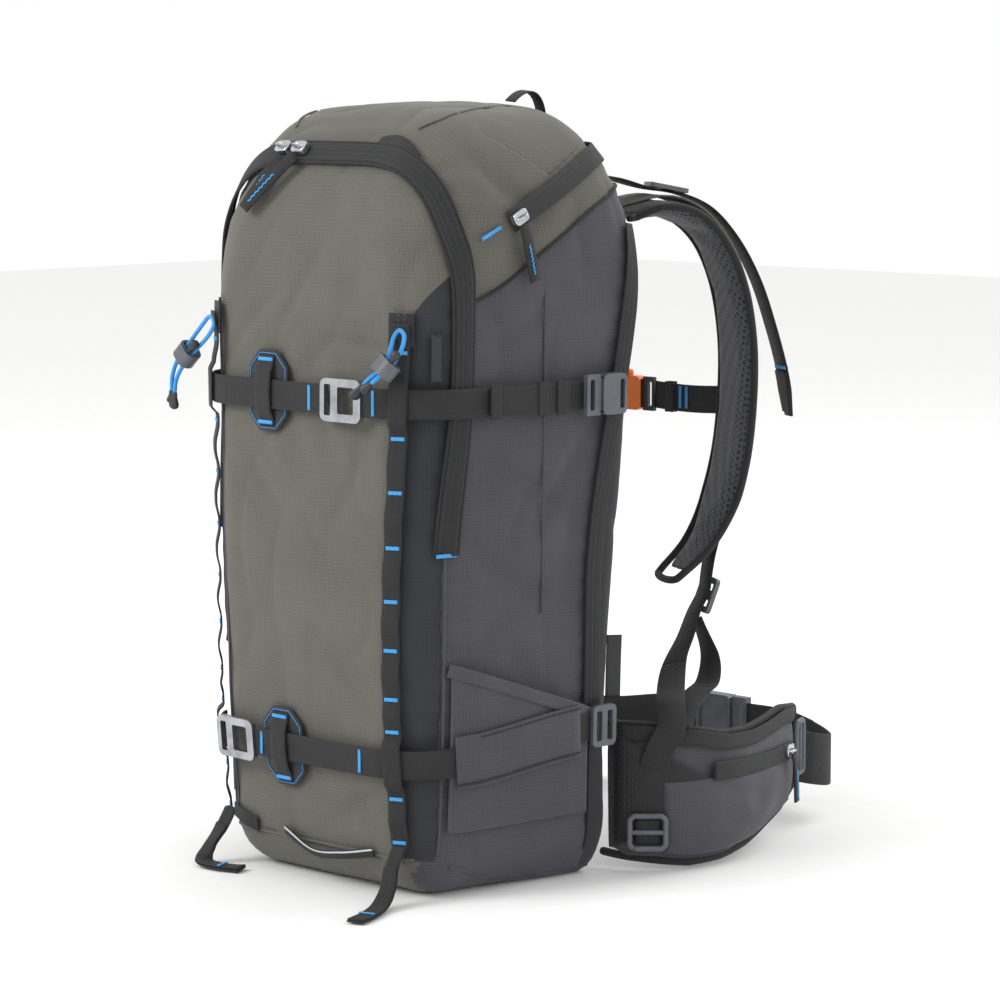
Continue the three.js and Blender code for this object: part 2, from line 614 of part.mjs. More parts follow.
// ---------------------------------------------------------------- patches with webbing loops, daisy chains
const strapTopLift = strapLift + WEBBING_THICK + GAP;
function patchSolid(cx, cz) {
  const [w, h, c] = [PATCH.width / 2, PATCH.height / 2, 9];
  const corners = [
    [w, -h + c], [w, h - c], [w - c, h], [c - w, h], [-w, h - c], [-w, c - h], [c - w, -h], [w - c, -h],
  ];
  const ring = (lift) => corners.map(([x, z]) => onFront(cx + x, cz + z, lift).point);
  const loop = [-22, -17, -13, 0, 13, 17, 22].map((z) =>
    onFront(cx, cz + z, Math.abs(z) < 14 ? strapTopLift : Math.abs(z) < 20 ? 1.8 : 0.9),
  );
  return join(loft([ring(GAP + 0.2), ring(GAP + 0.2 + PATCH.thick)]), ribbon(loop, 15, WEBBING_THICK));
}
add("upper_patch", "webbing", patchSolid(-33, UPPER_STRAP + 2));
add("lower_patch", "webbing", patchSolid(-22, LOWER_STRAP - 1));

// A daisy chain runs down the front, steps over both straps and ends in a tool loop on the floor.
const overStraps = (z) => {
  const near = Math.min(Math.abs(z - UPPER_STRAP), Math.abs(z - LOWER_STRAP));
  return near < 13 ? strapTopLift + 0.4 : 0.9;
};
function daisySolid(side, loop) {
  const past = (strap) => [17, 12, -12, -17].map((step) => strap + step);
  const heights = [
    DAISY_TOP, 372, ...past(UPPER_STRAP), 290, 255, 220, 185, 150, ...past(LOWER_STRAP), 60, DAISY_FOOT,
  ];
  const [top, foot] = side > 0 ? DAISY.right : DAISY.left;
  const across = (z) => side * lerp(foot, top, smoothstep(z, 170, DAISY_TOP));
  const down = heights.map((z) => onFront(across(z), z, overStraps(z)));
  const onFloor = loop.map(([x, y, z, tilt]) => ({
    point: at(side * x, y, z),
    normal: at(0, -Math.cos(degToRad(tilt)), Math.sin(degToRad(tilt))),
  }));
  return ribbon([...down, ...onFloor], DAISY.width, WEBBING_THICK);
}
// x outwards, y and z of the loops' points, and how far each has turned to lie flat
const RIGHT_LOOP = [
  [83, -104, 26, 10], [86, -111, 12, 40], [91, -124, 3, 80], [99, -142, 1, 90], [105, -160, 1, 90],
];
const LEFT_LOOP = [
  [96, -97, 26, 10], [101, -104, 12, 40], [98, -113, 3, 80], [82, -114, 1, 90], [64, -108, 1, 90],
];
add("daisy_chain_right", "webbing", daisySolid(1, RIGHT_LOOP));
add("daisy_chain_left", "webbing", daisySolid(-1, LEFT_LOOP));

// ---------------------------------------------------------------- side-release buckles
// u runs from the pronged half into the socket, v across, n through the thickness.
function prongedHalf(size, thick) {
  const { w, reach, bar } = size;
  const s = new THREE.Shape();
  s.moveTo(-bar, -w / 2);
  s.lineTo(-0.5, -w / 2);
  s.lineTo(-0.5, -w / 2 + 3);
  s.lineTo(reach, -w / 2 + 4);
  s.lineTo(reach, -w / 2 + 7);
  s.lineTo(2, -w / 2 + 7);
  s.lineTo(2, w / 2 - 7);
  s.lineTo(reach, w / 2 - 7);
  s.lineTo(reach, w / 2 - 4);
  s.lineTo(-0.5, w / 2 - 3);
  s.lineTo(-0.5, w / 2);
  s.lineTo(-bar, w / 2);
  s.closePath();
  const hole = roundedOutline(4, w - 7, 1.2, THREE.Path, -bar / 2 - 1.5, 0);
  s.holes.push(hole);
  return plate(s, thick);
}
function socketHalf(size, thick) {
  const { w, reach, shell: length } = size;
  const outline = roundedOutline(length, w, 4, THREE.Shape, length / 2 + GAP, 0);
  outline.holes.push(roundedOutline(4, w - 8, 1.2, THREE.Path, length - 4, 0));
  const body = plate(outline, thick);
  const cavity = new THREE.BoxGeometry(reach + 6, w - 4, thick - 2 * SOCKET_WALL);
  cavity.translate((reach + 6) / 2 - 4, 0, thick / 2);
  return cut(body, cavity);
}
const SOCKET_WALL = 1.2;
const PRONG_PLAY = 0.9; // between the prongs and the inside of their socket
function buckle(names, finishes, frame, size, thick) {
  const inset = SOCKET_WALL + PRONG_PLAY;
  const prongs = prongedHalf(size, thick - 2 * inset).translate(0, 0, inset);
  add(names[0], finishes[0], setOn(prongs, frame));
  add(names[1], finishes[1], setOn(socketHalf(size, thick), frame));
}
const SIDE_BUCKLE = { w: 28, reach: 12, bar: 13, shell: 22 };
const sideBuckleSpot = onSide(SIDE_BUCKLE_Y + 10, UPPER_STRAP, strapTopLift);
buckle(
  ["side_buckle_prongs", "side_buckle_socket"],
  ["acetal", "acetal"],
  sliderFrame(sideBuckleSpot, at(0, 1, 0)),
  SIDE_BUCKLE,
  8,
);

// ---------------------------------------------------------------- elastic cords with their locks
const CORD = 3;
function cordTube(points) {
  const path = new THREE.CatmullRomCurve3(points.map((p) => at(...p)));
  const section = new THREE.Shape();
  section.absarc(0, 0, CORD / 2, 0, 2 * Math.PI);
  const count = Math.round(path.getLength() / 6);
  return new THREE.ExtrudeGeometry(section, { steps: count, extrudePath: path, curveSegments: 8 });
}
// Each is threaded behind the top of its daisy chain and comes back through its lock: offsets from there.
const BUNGEES = {
  right: {
    side: 1,
    run: [
      [-11, -16, -35], [-5, -14.5, -30], [3, -11.5, -23], [7, -6.5, -14], [6, -1.5, -4], [0, 0, 0],
      [-4, -1.5, -5], [-3, -6.5, -15], [-5, -12, -25], [-12, -15.5, -31], [-18, -17, -37],
    ],
    lock: { centre: [-1, -11.8, -24], along: [10.5, 8.5, 16], across: [8, 0.5, 2], slack: 1.2 },
  },
  left: {
    side: -1,
    run: [
      [-41, -2, -55], [-39, -3, -43], [-31, -4, -30], [-19, -3.5, -18], [-9, -2, -7], [-2, -0.5, 0],
      [3, -0.5, -4], [-2, -1.5, -13], [-13, -4, -24], [-25, -5, -35], [-34, -4, -46], [-37, -3, -56],
    ],
    lock: { centre: [-22, -4.1, -27.2], along: [12, 0.7, 11.5], across: [6, -0.7, -5.5], slack: 0 },
  },
};
function bungeeHold(side) {
  const [top] = side > 0 ? DAISY.right : DAISY.left;
  return onFront(side * top, DAISY_TOP - 4, 0.9 + WEBBING_THICK + CORD / 2 + 2 * GAP + 0.1).point;
}
// A barrel through which both runs of a cord pass.
function cordLock(centre, along, across, slack) {
  const outline = roundedOutline(17 + slack, 14, 6);
  outline.holes.push(roundedOutline(14 + slack, 8 + slack, 3, THREE.Path));
  const body = plate(outline, 11).translate(0, 0, -5.5);
  const normal = along.clone().normalize();
  const side = across.clone().addScaledVector(normal, -across.dot(normal)).normalize();
  return setOn(body, { point: centre, along: side, across: normal.clone().cross(side), normal });
}
for (const [name, { side, run, lock }] of Object.entries(BUNGEES)) {
  const hold = bungeeHold(side);
  const from = (offset) => hold.clone().add(at(...offset));
  add("bungee_" + name, "bungee", cordTube(run.map((offset) => from(offset).toArray())));
  const barrel = cordLock(from(lock.centre), at(...lock.along), at(...lock.across), lock.slack);
  add("cord_lock_" + name, "acetal", barrel);
}

// ---------------------------------------------------------------- haul loop
const HAUL = { half: 24, foot: 486, rise: 30, width: 14 };
const haulRoute = steps(10).map((t) => {
  const angle = Math.PI * t;
  const foot = onBack(HAUL.half, HAUL.foot, HAUL.width / 2 - 1.2).point;
  const lift = Math.sin(angle);
  const point = at(-HAUL.half * Math.cos(angle), foot.y + 6 * lift, foot.z + HAUL.rise * lift);
  return { point, normal: at(point.x, 0, HAUL.half * lift + 0.01).normalize() };
});
add("haul_loop", "webbing", ribbon(haulRoute, HAUL.width, 2));

// ---------------------------------------------------------------- shoulder straps
// Drawn in the strap's own upright plane: reach from its swing axis, height, and offset sideways.
// Both straps hang swung outwards by the rest swing.
function strapPlace(side) {
  const turn = degToRad(REST_SWING);
  const root = at(side * STRAP_AXIS.x, STRAP_AXIS.y, 0);
  const sideways = at(side * Math.cos(turn), -Math.sin(turn), 0);
  const put = ([reach, z, offset = 0]) => {
    const bend = turn * smoothstep(reach, 12, 60); // sewn in flat, the strap turns outwards as it leaves
    const out = at(side * Math.sin(bend), Math.cos(bend), 0);
    return root.clone().addScaledVector(out, reach).addScaledVector(sideways, offset).setZ(z);
  };
  return { sideways, put };
}
const PAD_CURVE = [
  [4.6, 453], [27, 457], [54, 461], [77, 452], [94, 434], [107, 405], [PAD_REACH, 365],
  [PAD_REACH, 322], [109, 280], [99, 246], [84, 220], [62, 199],
];
const LIFTER_CURVE = [
  [22, 481], [46, 474], [68, 470], [90, 460], [110, 439], [127, 410], [140, 375], [150, 340], [155, 310],
];
// The lower webbing leaves the pad's outer face, passes its lock and runs to the outside of the hip fin.
const WEB_UPPER = [[105.7, 242], [98.9, 229], [94, 213], [91.5, 199], [89.5, 186], [82, 172]];
const WEB_LOWER = [
  [112, 160, 156], [116, 144, 140], [130, 124, 126], [144, 108, 117], [152, 99, 102], [147.5, 93, 88],
  [142.7, 90.6, 74],
];
for (const [side, name] of [[1, "right"], [-1, "left"]]) {
  const { put, sideways } = strapPlace(side);
  const twist = (t) => at(side, 0, 0).lerp(sideways, smoothstep(t, 0, 0.3)).normalize();
  const curve = (points, count) => freeRoute(points.map(put), twist, count);
  const widthAt = (t) => PAD.width * (t > 0.8 ? 1 - 1.9 * (t - 0.8) : 1);
  const thickAt = (t) => PAD.thick * Math.min(1, 0.55 + 6 * Math.min(t, 1 - t));
  add("strap_pad_" + name, "mesh", padded(curve(PAD_CURVE, 18), widthAt, thickAt, 8));
  const lifterFoot = onBack(side * STRAP_AXIS.x, 484, 0.98).point;
  const lifter = freeRoute([lifterFoot, ...LIFTER_CURVE.map(put)], twist, 20);
  add("load_lifter_" + name, "webbing", ribbon(lifter, WEBBING, WEBBING_THICK, -WEBBING_THICK / 2));
  // the face of a strap that looks away from the wearer's pack, raised clear of the webbing
  const outerFrame = (spots, index) => {
    const frame = framed(spots)[index];
    const away = frame.point.clone().sub(at(side * STRAP_AXIS.x, STRAP_AXIS.y, frame.point.z - 30));
    const facing = Math.sign(frame.normal.dot(away));
    frame.normal.multiplyScalar(facing);
    frame.point.addScaledVector(frame.normal, WEBBING_THICK / 2 + GAP);
    return frame;
  };
  add("lifter_lock_" + name, "acetal", lockSolid(outerFrame(lifter, 5), 28, 28, 3));
  const webPoints = [...WEB_UPPER.map(put), ...WEB_LOWER.map(([x, y, z]) => at(side * x, y, z))];
  const endAcross = at(side * 0.64, 0.77, 0);
  const webTwist = (t) => sideways.clone().lerp(endAcross, smoothstep(t, 0.3, 0.95)).normalize();
  const web = freeRoute(webPoints, webTwist, 22);
  add("strap_webbing_" + name, "webbing", ribbon(web, WEBBING, WEBBING_THICK, -WEBBING_THICK / 2));
  add("strap_lock_" + name, "acetal", lockSolid(outerFrame(web, 6), 26, 28, 3));
}

// ---------------------------------------------------------------- sternum strap
const STERNUM_BUCKLE = { w: 25, reach: 11, bar: 11, shell: 21 };
const padEdge = strapPlace(1).put([PAD_REACH, STERNUM.z, -PAD.width / 2]); // the pad's inner edge
const sternumEnd = padEdge.x - 0.2;
const sternumY = padEdge.y + 2;
const sternumFrame = {
  point: at(STERNUM.buckleX, sternumY - 4.3, STERNUM.z),
  along: at(-1, 0, 0),
  across: at(0, 0, 1),
  normal: at(0, 1, 0),
};
buckle(["sternum_prongs", "sternum_socket"], ["sheet", "whistle"], sternumFrame, STERNUM_BUCKLE, 8);
const flatRoute = (xs) => xs.map((x) => ({ point: at(x, sternumY - 1, STERNUM.z), normal: at(0, 1, 0) }));
const sternumRight = flatRoute([STERNUM.buckleX + STERNUM_BUCKLE.bar + 0.5, 70, sternumEnd]);
const sternumLeft = flatRoute([STERNUM.buckleX - STERNUM_BUCKLE.shell - 1, -70, -sternumEnd]);
add("sternum_webbing_right", "webbing", ribbon(sternumRight, WEBBING, WEBBING_THICK));
add("sternum_webbing_left", "webbing", ribbon(sternumLeft, WEBBING, WEBBING_THICK));

// ---------------------------------------------------------------- hip belt
const FIN_LINE = [
  [104, 80.2], [122, 85], [138, 97], [150, 118], [154, 148], [148, 187], [136, 226], [119, 272],
];
const FIN_EDGES = [[8, 104], [5, 104], [1, 100], [1.5, 93], [5, 91], [12, 93], [18, 96], [30, 92]];
const finCurve = new THREE.CatmullRomCurve3(FIN_LINE.map(([x, y]) => at(x, y, 0)));
const edgeAt = (t, which) => {
  const place = t * (FIN_EDGES.length - 1);
  const i = Math.min(Math.floor(place), FIN_EDGES.length - 2);
  return lerp(FIN_EDGES[i][which], FIN_EDGES[i + 1][which], place - i);
};
const HIP_BUCKLE = { w: 46, reach: 18, bar: 14, shell: 34 };
const HIP = { y: 346, z: 52 };
for (const [side, name] of [[1, "right"], [-1, "left"]]) {
  const finRoute = steps(12).map((t) => {
    const p = finCurve.getPointAt(t);
    const along = finCurve.getTangentAt(t);
    return { t, p: at(side * p.x, p.y, 0), normal: at(side * along.y, -along.x, 0) };
  });
  const rings = finRoute.map(({ t, p, normal }) => {
    const [low, high] = [edgeAt(t, 0), edgeAt(t, 1)];
    const thick = FIN_THICK * Math.min(1, 0.5 + 5 * Math.min(t, 1 - t));
    return steps(9).map((_, k) => {
      const angle = (2 * Math.PI * k) / 10;
      const soft = (value, power) => Math.sign(value) * Math.abs(value) ** power;
      return p
        .clone()
        .addScaledVector(normal, (thick / 2) * soft(Math.cos(angle), 0.7))
        .add(at(0, 0, (low + high) / 2 + ((high - low) / 2) * soft(Math.sin(angle), 0.5)));
    });
  });
  add("hip_fin_" + name, "dark", loft(rings));
  const beltEnds = side > 0 ? HIP_BUCKLE.bar + 0.5 : HIP_BUCKLE.shell + 1;
  const belt = [
    [118.2, 276.3, 54], [124, 292, 50], [121, 313, 46], [103, 332, 45], [74, 342, 49],
    [48, HIP.y, HIP.z], [beltEnds, HIP.y, HIP.z],
  ].map(([x, y, z]) => at(side * x, y, z));
  const beltRoute = freeRoute(belt, at(0, 0, 1), 12);
  add("hip_webbing_" + name, "webbing", ribbon(beltRoute, BELT_WEBBING, BELT_THICK, -BELT_THICK / 2));
  if (side < 0) continue; // only the right fin carries a zipped pocket
  const spot = finRoute[10];
  const out = spot.p.clone().addScaledVector(spot.normal, FIN_THICK / 2 + 0.6).setZ(66);
  const alongFin = at(-spot.normal.y, spot.normal.x, 0);
  add("hip_slider", "metal", sliderSolid(sliderFrame({ point: out, normal: spot.normal }, alongFin)));
}
const hipFrame = {
  point: at(0, HIP.y - 4.5, HIP.z),
  along: at(-1, 0, 0),
  across: at(0, 0, 1),
  normal: at(0, 1, 0),
};
buckle(["hip_prongs", "hip_socket"], ["acetal", "acetal"], hipFrame, HIP_BUCKLE, 11);

export default group;
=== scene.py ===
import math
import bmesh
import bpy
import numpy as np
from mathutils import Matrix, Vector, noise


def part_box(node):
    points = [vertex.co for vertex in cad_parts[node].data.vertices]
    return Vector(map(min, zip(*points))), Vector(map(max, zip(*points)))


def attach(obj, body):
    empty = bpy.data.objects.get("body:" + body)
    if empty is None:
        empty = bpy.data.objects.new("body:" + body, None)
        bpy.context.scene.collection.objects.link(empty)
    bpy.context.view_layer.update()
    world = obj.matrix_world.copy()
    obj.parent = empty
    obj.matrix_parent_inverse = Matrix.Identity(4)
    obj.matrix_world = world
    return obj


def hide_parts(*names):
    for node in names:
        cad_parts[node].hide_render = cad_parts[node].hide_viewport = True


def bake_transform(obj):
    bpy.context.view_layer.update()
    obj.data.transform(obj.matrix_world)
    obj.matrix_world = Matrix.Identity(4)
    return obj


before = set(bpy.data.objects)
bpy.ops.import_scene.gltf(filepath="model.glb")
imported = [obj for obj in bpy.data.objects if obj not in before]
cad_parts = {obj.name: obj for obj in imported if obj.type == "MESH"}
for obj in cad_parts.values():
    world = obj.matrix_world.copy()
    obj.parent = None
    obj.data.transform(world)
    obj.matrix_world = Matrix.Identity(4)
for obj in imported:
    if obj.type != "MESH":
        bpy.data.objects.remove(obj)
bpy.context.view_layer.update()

# %% [markdown]
# # A ski touring backpack
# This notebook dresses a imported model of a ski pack: coated ripstop cloth over a rounded box, woven
# webbing, moulded buckles and foam straps. The hard parts are already solids in the frame. What is made
# here is everything that bends: cloth, tape, cord and foam. All lengths are metres; +Z is up, +Y points
# to the wearer and +X to the pack's right side as worn.

MM = 0.001

# %% [markdown]
# ## Camera and light
# A long lens from far away keeps the pack's upright edges upright, as in a catalogue picture. The light is
# a bright room and two large soft lamps: black webbing needs a broad highlight to show its weave, and
# cloth shows its folds best when the main light comes from one side.

# %% Camera
camera = bpy.data.objects.new("camera", bpy.data.cameras.new("camera"))
bpy.context.scene.collection.objects.link(camera)
camera.location = (1.7666, -1.7439, 0.5601)
camera.rotation_euler = (Vector((0.0427, 0.0413, 0.258)) - camera.location).to_track_quat(
    "-Z", "Y").to_euler()
camera.data.lens = 128.7
camera.data.sensor_width = 36
bpy.context.scene.camera = camera

# %% Lamps and room
def lamp(name, place, aim, size, watts):
    light = bpy.data.lights.new(name, "AREA")
    light.size, light.energy = size, watts
    holder = bpy.data.objects.new(name, light)
    bpy.context.scene.collection.objects.link(holder)
    holder.location = place
    holder.rotation_euler = (Vector(aim) - Vector(place)).to_track_quat("-Z", "Y").to_euler()

lamp("key", (-0.9, -2.2, 1.9), (0, 0, 0.3), 1.2, 40)
lamp("fill", (2.6, -0.4, 1.2), (0, 0, 0.3), 1.8, 9)
lamp("rim", (0.4, 2.2, 2.0), (0, 0, 0.3), 1.4, 22)
room = bpy.data.worlds.new("room")
bpy.context.scene.world = room
room.use_nodes = True
room.node_tree.nodes["Background"].inputs["Color"].default_value = (1.0, 1.0, 1.0, 1)
room.node_tree.nodes["Background"].inputs["Strength"].default_value = 1.0
bpy.context.scene.view_settings.view_transform = "Standard"

# %% [markdown]
# ## Finishes
# Every finish is made of noise, waves and arithmetic, so it has no edges, seams or resolution. Cloth
# patterns are worked out from real sizes: a ripstop square is about 2.4 mm, a rib of webbing 1.4 mm. Ribbons
# carry their own coordinates, metres along and across, so ribs and stitches follow every bend.

# %% Colours and nodes
def tint(code):
    parts = [int(code[i:i + 2], 16) / 255 for i in (1, 3, 5)]
    return (*[c / 12.92 if c <= 0.04045 else ((c + 0.055) / 1.055) ** 2.4 for c in parts], 1)

def add(tree, kind, settings=(), **sockets):
    made = tree.nodes.new(kind)
    for key, value in dict(settings).items():
        setattr(made, key, value)
    for key, value in sockets.items():
        socket = made.inputs[int(key[1:])] if key[0] == "_" else made.inputs[key.replace("_", " ")]
        if isinstance(value, bpy.types.NodeSocket):
            tree.links.new(value, socket)
        else:
            socket.default_value = value
    return made.outputs[0]

def start(name, **uniform):
    made = bpy.data.materials.new(name)
    made.use_nodes = True
    shader = made.node_tree.nodes["Principled BSDF"]
    for key, value in uniform.items():
        shader.inputs[key.replace("_", " ")].default_value = value
    return made, made.node_tree, shader

def math_of(tree, operation, *values):
    return add(tree, "ShaderNodeMath", {"operation": operation}, **{f"_{i}": v for i, v in enumerate(values)})

# %% [markdown]
# ### Coated ripstop nylon
# The cloth is a plain weave of fine nylon with a thicker thread every 2.4 mm both ways, and a coating on
# the back that makes it papery. The eye sees a matt surface with faint squares and slow changes of tone.
# Lines run across each axis and fade where the surface faces along that axis, so the squares stay square
# on the front, the sides and the lid alike.

# %% Ripstop
RIPSTOP = 2.4 * MM
def ripstop(name, cloth, thread, worn):
    made, tree, shader = start(name, Roughness=0.78, Sheen_Weight=0.12, Sheen_Roughness=0.5)
    place = tree.nodes.new("ShaderNodeTexCoord")
    split = tree.nodes.new("ShaderNodeSeparateXYZ")
    tree.links.new(place.outputs["Object"], split.inputs[0])
    facing = tree.nodes.new("ShaderNodeSeparateXYZ")
    tree.links.new(place.outputs["Normal"], facing.inputs[0])
    lines = None
    for axis in range(3):
        step = math_of(tree, "PINGPONG", math_of(tree, "DIVIDE", split.outputs[axis], RIPSTOP), 0.5)
        line = add(tree, "ShaderNodeMapRange", {"interpolation_type": "SMOOTHSTEP"}, _0=step, _1=0.11,
                   _2=0.03)
        turned = math_of(tree, "ABSOLUTE", facing.outputs[axis])
        shown = add(tree, "ShaderNodeMapRange", _0=turned, _1=0.8, _2=0.55)
        line = math_of(tree, "MULTIPLY", line, shown)
        lines = line if lines is None else math_of(tree, "MAXIMUM", lines, line)
    weave = add(tree, "ShaderNodeTexNoise", Vector=place.outputs["Object"], Scale=1500.0, Detail=1.0)
    tone = add(tree, "ShaderNodeTexNoise", Vector=place.outputs["Object"], Scale=22.0, Detail=4.0)
    tone = add(tree, "ShaderNodeMapRange", _0=tone, _1=0.35, _2=0.7)
    base = add(tree, "ShaderNodeMix", {"data_type": "RGBA"}, _0=tone, _6=tint(cloth), _7=tint(worn))
    base = tree.nodes[-1].outputs[2]
    speck = add(tree, "ShaderNodeMapRange", _0=weave, _1=0.3, _2=0.7, _3=0.0, _4=0.35)
    add(tree, "ShaderNodeMix", {"data_type": "RGBA"}, _0=speck, _6=base, _7=tint(thread))
    base = tree.nodes[-1].outputs[2]
    amount = math_of(tree, "MULTIPLY", lines, 0.5)
    add(tree, "ShaderNodeMix", {"data_type": "RGBA"}, _0=amount, _6=base, _7=tint(thread))
    tree.links.new(tree.nodes[-1].outputs[2], shader.inputs["Base Color"])
    height = math_of(tree, "ADD", math_of(tree, "MULTIPLY", lines, 0.5),
                     math_of(tree, "MULTIPLY", weave, 0.5))
    bump = add(tree, "ShaderNodeBump", Strength=0.5, Distance=0.0003, Height=height)
    tree.links.new(bump, shader.inputs["Normal"])
    return made

OLIVE_RIPSTOP = ripstop("olive_ripstop_nylon", "#474640", "#67655c", "#504f48")
SLATE_RIPSTOP = ripstop("slate_ripstop_nylon", "#2f2f34", "#4a4a52", "#38383e")
DARK_RIPSTOP = ripstop("black_ripstop_nylon", "#16171a", "#2a2b30", "#1d1e22")
print("ripstop squares of", RIPSTOP / MM, "mm")

# %% [markdown]
# ### Woven webbing and tape
# Webbing is woven on a narrow loom: ribs cross it every 1.4 mm and a denser edge runs down each side.
# It is polyester, duller than nylon, and its ribs catch the light as fine bars. Zip tape is the same idea,
# thinner, with the covered coil down its middle and a row of stitches each side.

# %% Webbing, tape, binding, thread
def woven(name, dark, light, pitch, coil=False, stitches=None):
    made, tree, shader = start(name, Roughness=0.7, Sheen_Weight=0.05)
    run = tree.nodes.new("ShaderNodeUVMap")
    run.uv_map = "run"
    split = tree.nodes.new("ShaderNodeSeparateXYZ")
    tree.links.new(run.outputs[0], split.inputs[0])
    along, across = split.outputs[0], split.outputs[1]
    slant = math_of(tree, "ADD", along,
                    math_of(tree, "MULTIPLY", math_of(tree, "PINGPONG", across, 2 * MM), 0.35))
    rib = math_of(tree, "PINGPONG", math_of(tree, "DIVIDE", slant, pitch), 0.5)
    rib = math_of(tree, "MULTIPLY", rib, 2.0)
    fuzz = add(tree, "ShaderNodeTexNoise", Vector=run.outputs[0], Scale=700.0, Detail=2.0)
    # The rib bars are painted into the colour: a painted highlight along each rib and painted shade between
    # the ribs, varied by noise.
    shade = math_of(tree, "MULTIPLY", rib, math_of(tree, "ADD", fuzz, 0.35))
    add(tree, "ShaderNodeMix", {"data_type": "RGBA"}, _0=shade, _6=tint(dark), _7=tint(light))
    base, height = tree.nodes[-1].outputs[2], rib
    away = math_of(tree, "ABSOLUTE", across)
    if coil:
        groove = add(tree, "ShaderNodeMapRange", _0=away, _1=0.2 * MM, _2=0.9 * MM, _3=0.0, _4=1.0)
        ridge = add(tree, "ShaderNodeMapRange", _0=away, _1=3.4 * MM, _2=2.6 * MM, _3=0.0, _4=1.6)
        height = math_of(tree, "ADD", height, math_of(tree, "MULTIPLY", ridge, groove))
    if stitches:
        row, colour = stitches
        line = add(tree, "ShaderNodeMapRange",
                   _0=math_of(tree, "ABSOLUTE", math_of(tree, "SUBTRACT", away, row)),
                   _1=0.55 * MM, _2=0.3 * MM)
        dash = math_of(tree, "LESS_THAN", math_of(tree, "FRACT", math_of(tree, "DIVIDE", along, 3.2 * MM)),
                       0.68)
        sewn = math_of(tree, "MULTIPLY", line, dash)
        add(tree, "ShaderNodeMix", {"data_type": "RGBA"}, _0=sewn, _6=base, _7=tint(colour))
        base = tree.nodes[-1].outputs[2]
        height = math_of(tree, "ADD", height, sewn)
    tree.links.new(base, shader.inputs["Base Color"])
    bump = add(tree, "ShaderNodeBump", Strength=0.7, Distance=0.0004, Height=height)
    tree.links.new(bump, shader.inputs["Normal"])
    return made

WEBBING_BLACK = woven("polyester_webbing_black", "#060607", "#1b1c1e", 1.4 * MM)
ZIP_TAPE = woven("zip_tape_black", "#0b0c0d", "#1c1d1f", 0.9 * MM, coil=True, stitches=(5.8 * MM, "#26272a"))
BINDING = woven("grosgrain_binding_black", "#070708", "#1c1d1f", 1.0 * MM)
HEM_TAPE = woven("hem_tape_black", "#0c0d0f", "#202124", 1.0 * MM, stitches=(2.2 * MM, "#3a3c42"))
BLUE_THREAD = woven("bonded_nylon_thread_blue", "#1f7fca", "#55b8f5", 0.8 * MM)
REFLECTIVE = woven("reflective_piping_white", "#b9bcc0", "#dfe2e6", 0.9 * MM)
ELASTIC_BLUE = woven("braided_elastic_blue", "#1c78c4", "#4fb4f4", 1.2 * MM)

# %% [markdown]
# ### Spacer mesh, acetal and metal
# Spacer mesh is knitted with holes about 3 mm apart over soft foam: dark dimples in a lighter net. Buckles
# are acetal, moulded in spark-eroded tools, so they are satin with a fine grain. Hooks are tumbled aluminium
# and zip sliders are plated zinc, brighter, with small scratches.

# %% Mesh, plastics, metals
def spacer(name, net, hole, pitch):
    made, tree, shader = start(name, Roughness=0.85, Sheen_Weight=0.2)
    place = tree.nodes.new("ShaderNodeTexCoord")
    turned = add(tree, "ShaderNodeMapping", Vector=place.outputs["Object"], Rotation=(0.6, 0.5, math.pi / 4))
    cells = add(tree, "ShaderNodeTexVoronoi", {"feature": "F1"}, Vector=turned, Scale=1 / pitch,
                Randomness=0.12)
    dimple = add(tree, "ShaderNodeMapRange", _0=cells, _1=0.25, _2=0.5)
    add(tree, "ShaderNodeMix", {"data_type": "RGBA"}, _0=dimple, _6=tint(hole), _7=tint(net))
    tree.links.new(tree.nodes[-1].outputs[2], shader.inputs["Base Color"])
    bump = add(tree, "ShaderNodeBump", Strength=0.8, Distance=0.0008, Height=dimple)
    tree.links.new(bump, shader.inputs["Normal"])
    return made

def moulded(name, colour, worn, roughness, metallic=0.0, grain=2500.0):
    made, tree, shader = start(name, Metallic=metallic)
    place = tree.nodes.new("ShaderNodeTexCoord")
    fine = add(tree, "ShaderNodeTexNoise", Vector=place.outputs["Object"], Scale=grain, Detail=2.0)
    slow = add(tree, "ShaderNodeTexNoise", Vector=place.outputs["Object"], Scale=90.0, Detail=5.0)
    tone = add(tree, "ShaderNodeMapRange", _0=slow, _1=0.35, _2=0.7)
    add(tree, "ShaderNodeMix", {"data_type": "RGBA"}, _0=tone, _6=tint(colour), _7=tint(worn))
    tree.links.new(tree.nodes[-1].outputs[2], shader.inputs["Base Color"])
    rough = add(tree, "ShaderNodeMapRange", _0=slow, _1=0.3, _2=0.75, _3=roughness - 0.06, _4=roughness + 0.1)
    tree.links.new(rough, shader.inputs["Roughness"])
    bump = add(tree, "ShaderNodeBump", Strength=0.25, Distance=0.0001, Height=fine)
    tree.links.new(bump, shader.inputs["Normal"])
    return made

SPACER_MESH = spacer("spacer_mesh_grey", "#4a4b50", "#17181a", 3.2 * MM)
ACETAL_GREY = moulded("moulded_acetal_grey", "#4c5055", "#5a5e64", 0.42)
ACETAL_DARK = moulded("moulded_acetal_dark", "#26282b", "#303236", 0.45)
ACETAL_ORANGE = moulded("moulded_acetal_orange", "#ef7420", "#f5822f", 0.4)
ALUMINIUM = moulded("tumbled_aluminium", "#b4b7bb", "#8d9095", 0.34, metallic=1.0)
ZINC = moulded("plated_zinc", "#c9cbce", "#a5a8ac", 0.24, metallic=1.0)
RUBBER_LABEL = moulded("rubber_label_black", "#17181a", "#202124", 0.5)
POLYETHYLENE = moulded("polyethylene_sheet_black", "#1c1d1f", "#26272a", 0.55)
FLOOR = moulded("matt_paper_floor", "#f1f1f0", "#f4f4f3", 0.9, grain=400.0)
print(len(bpy.data.materials), "finishes")

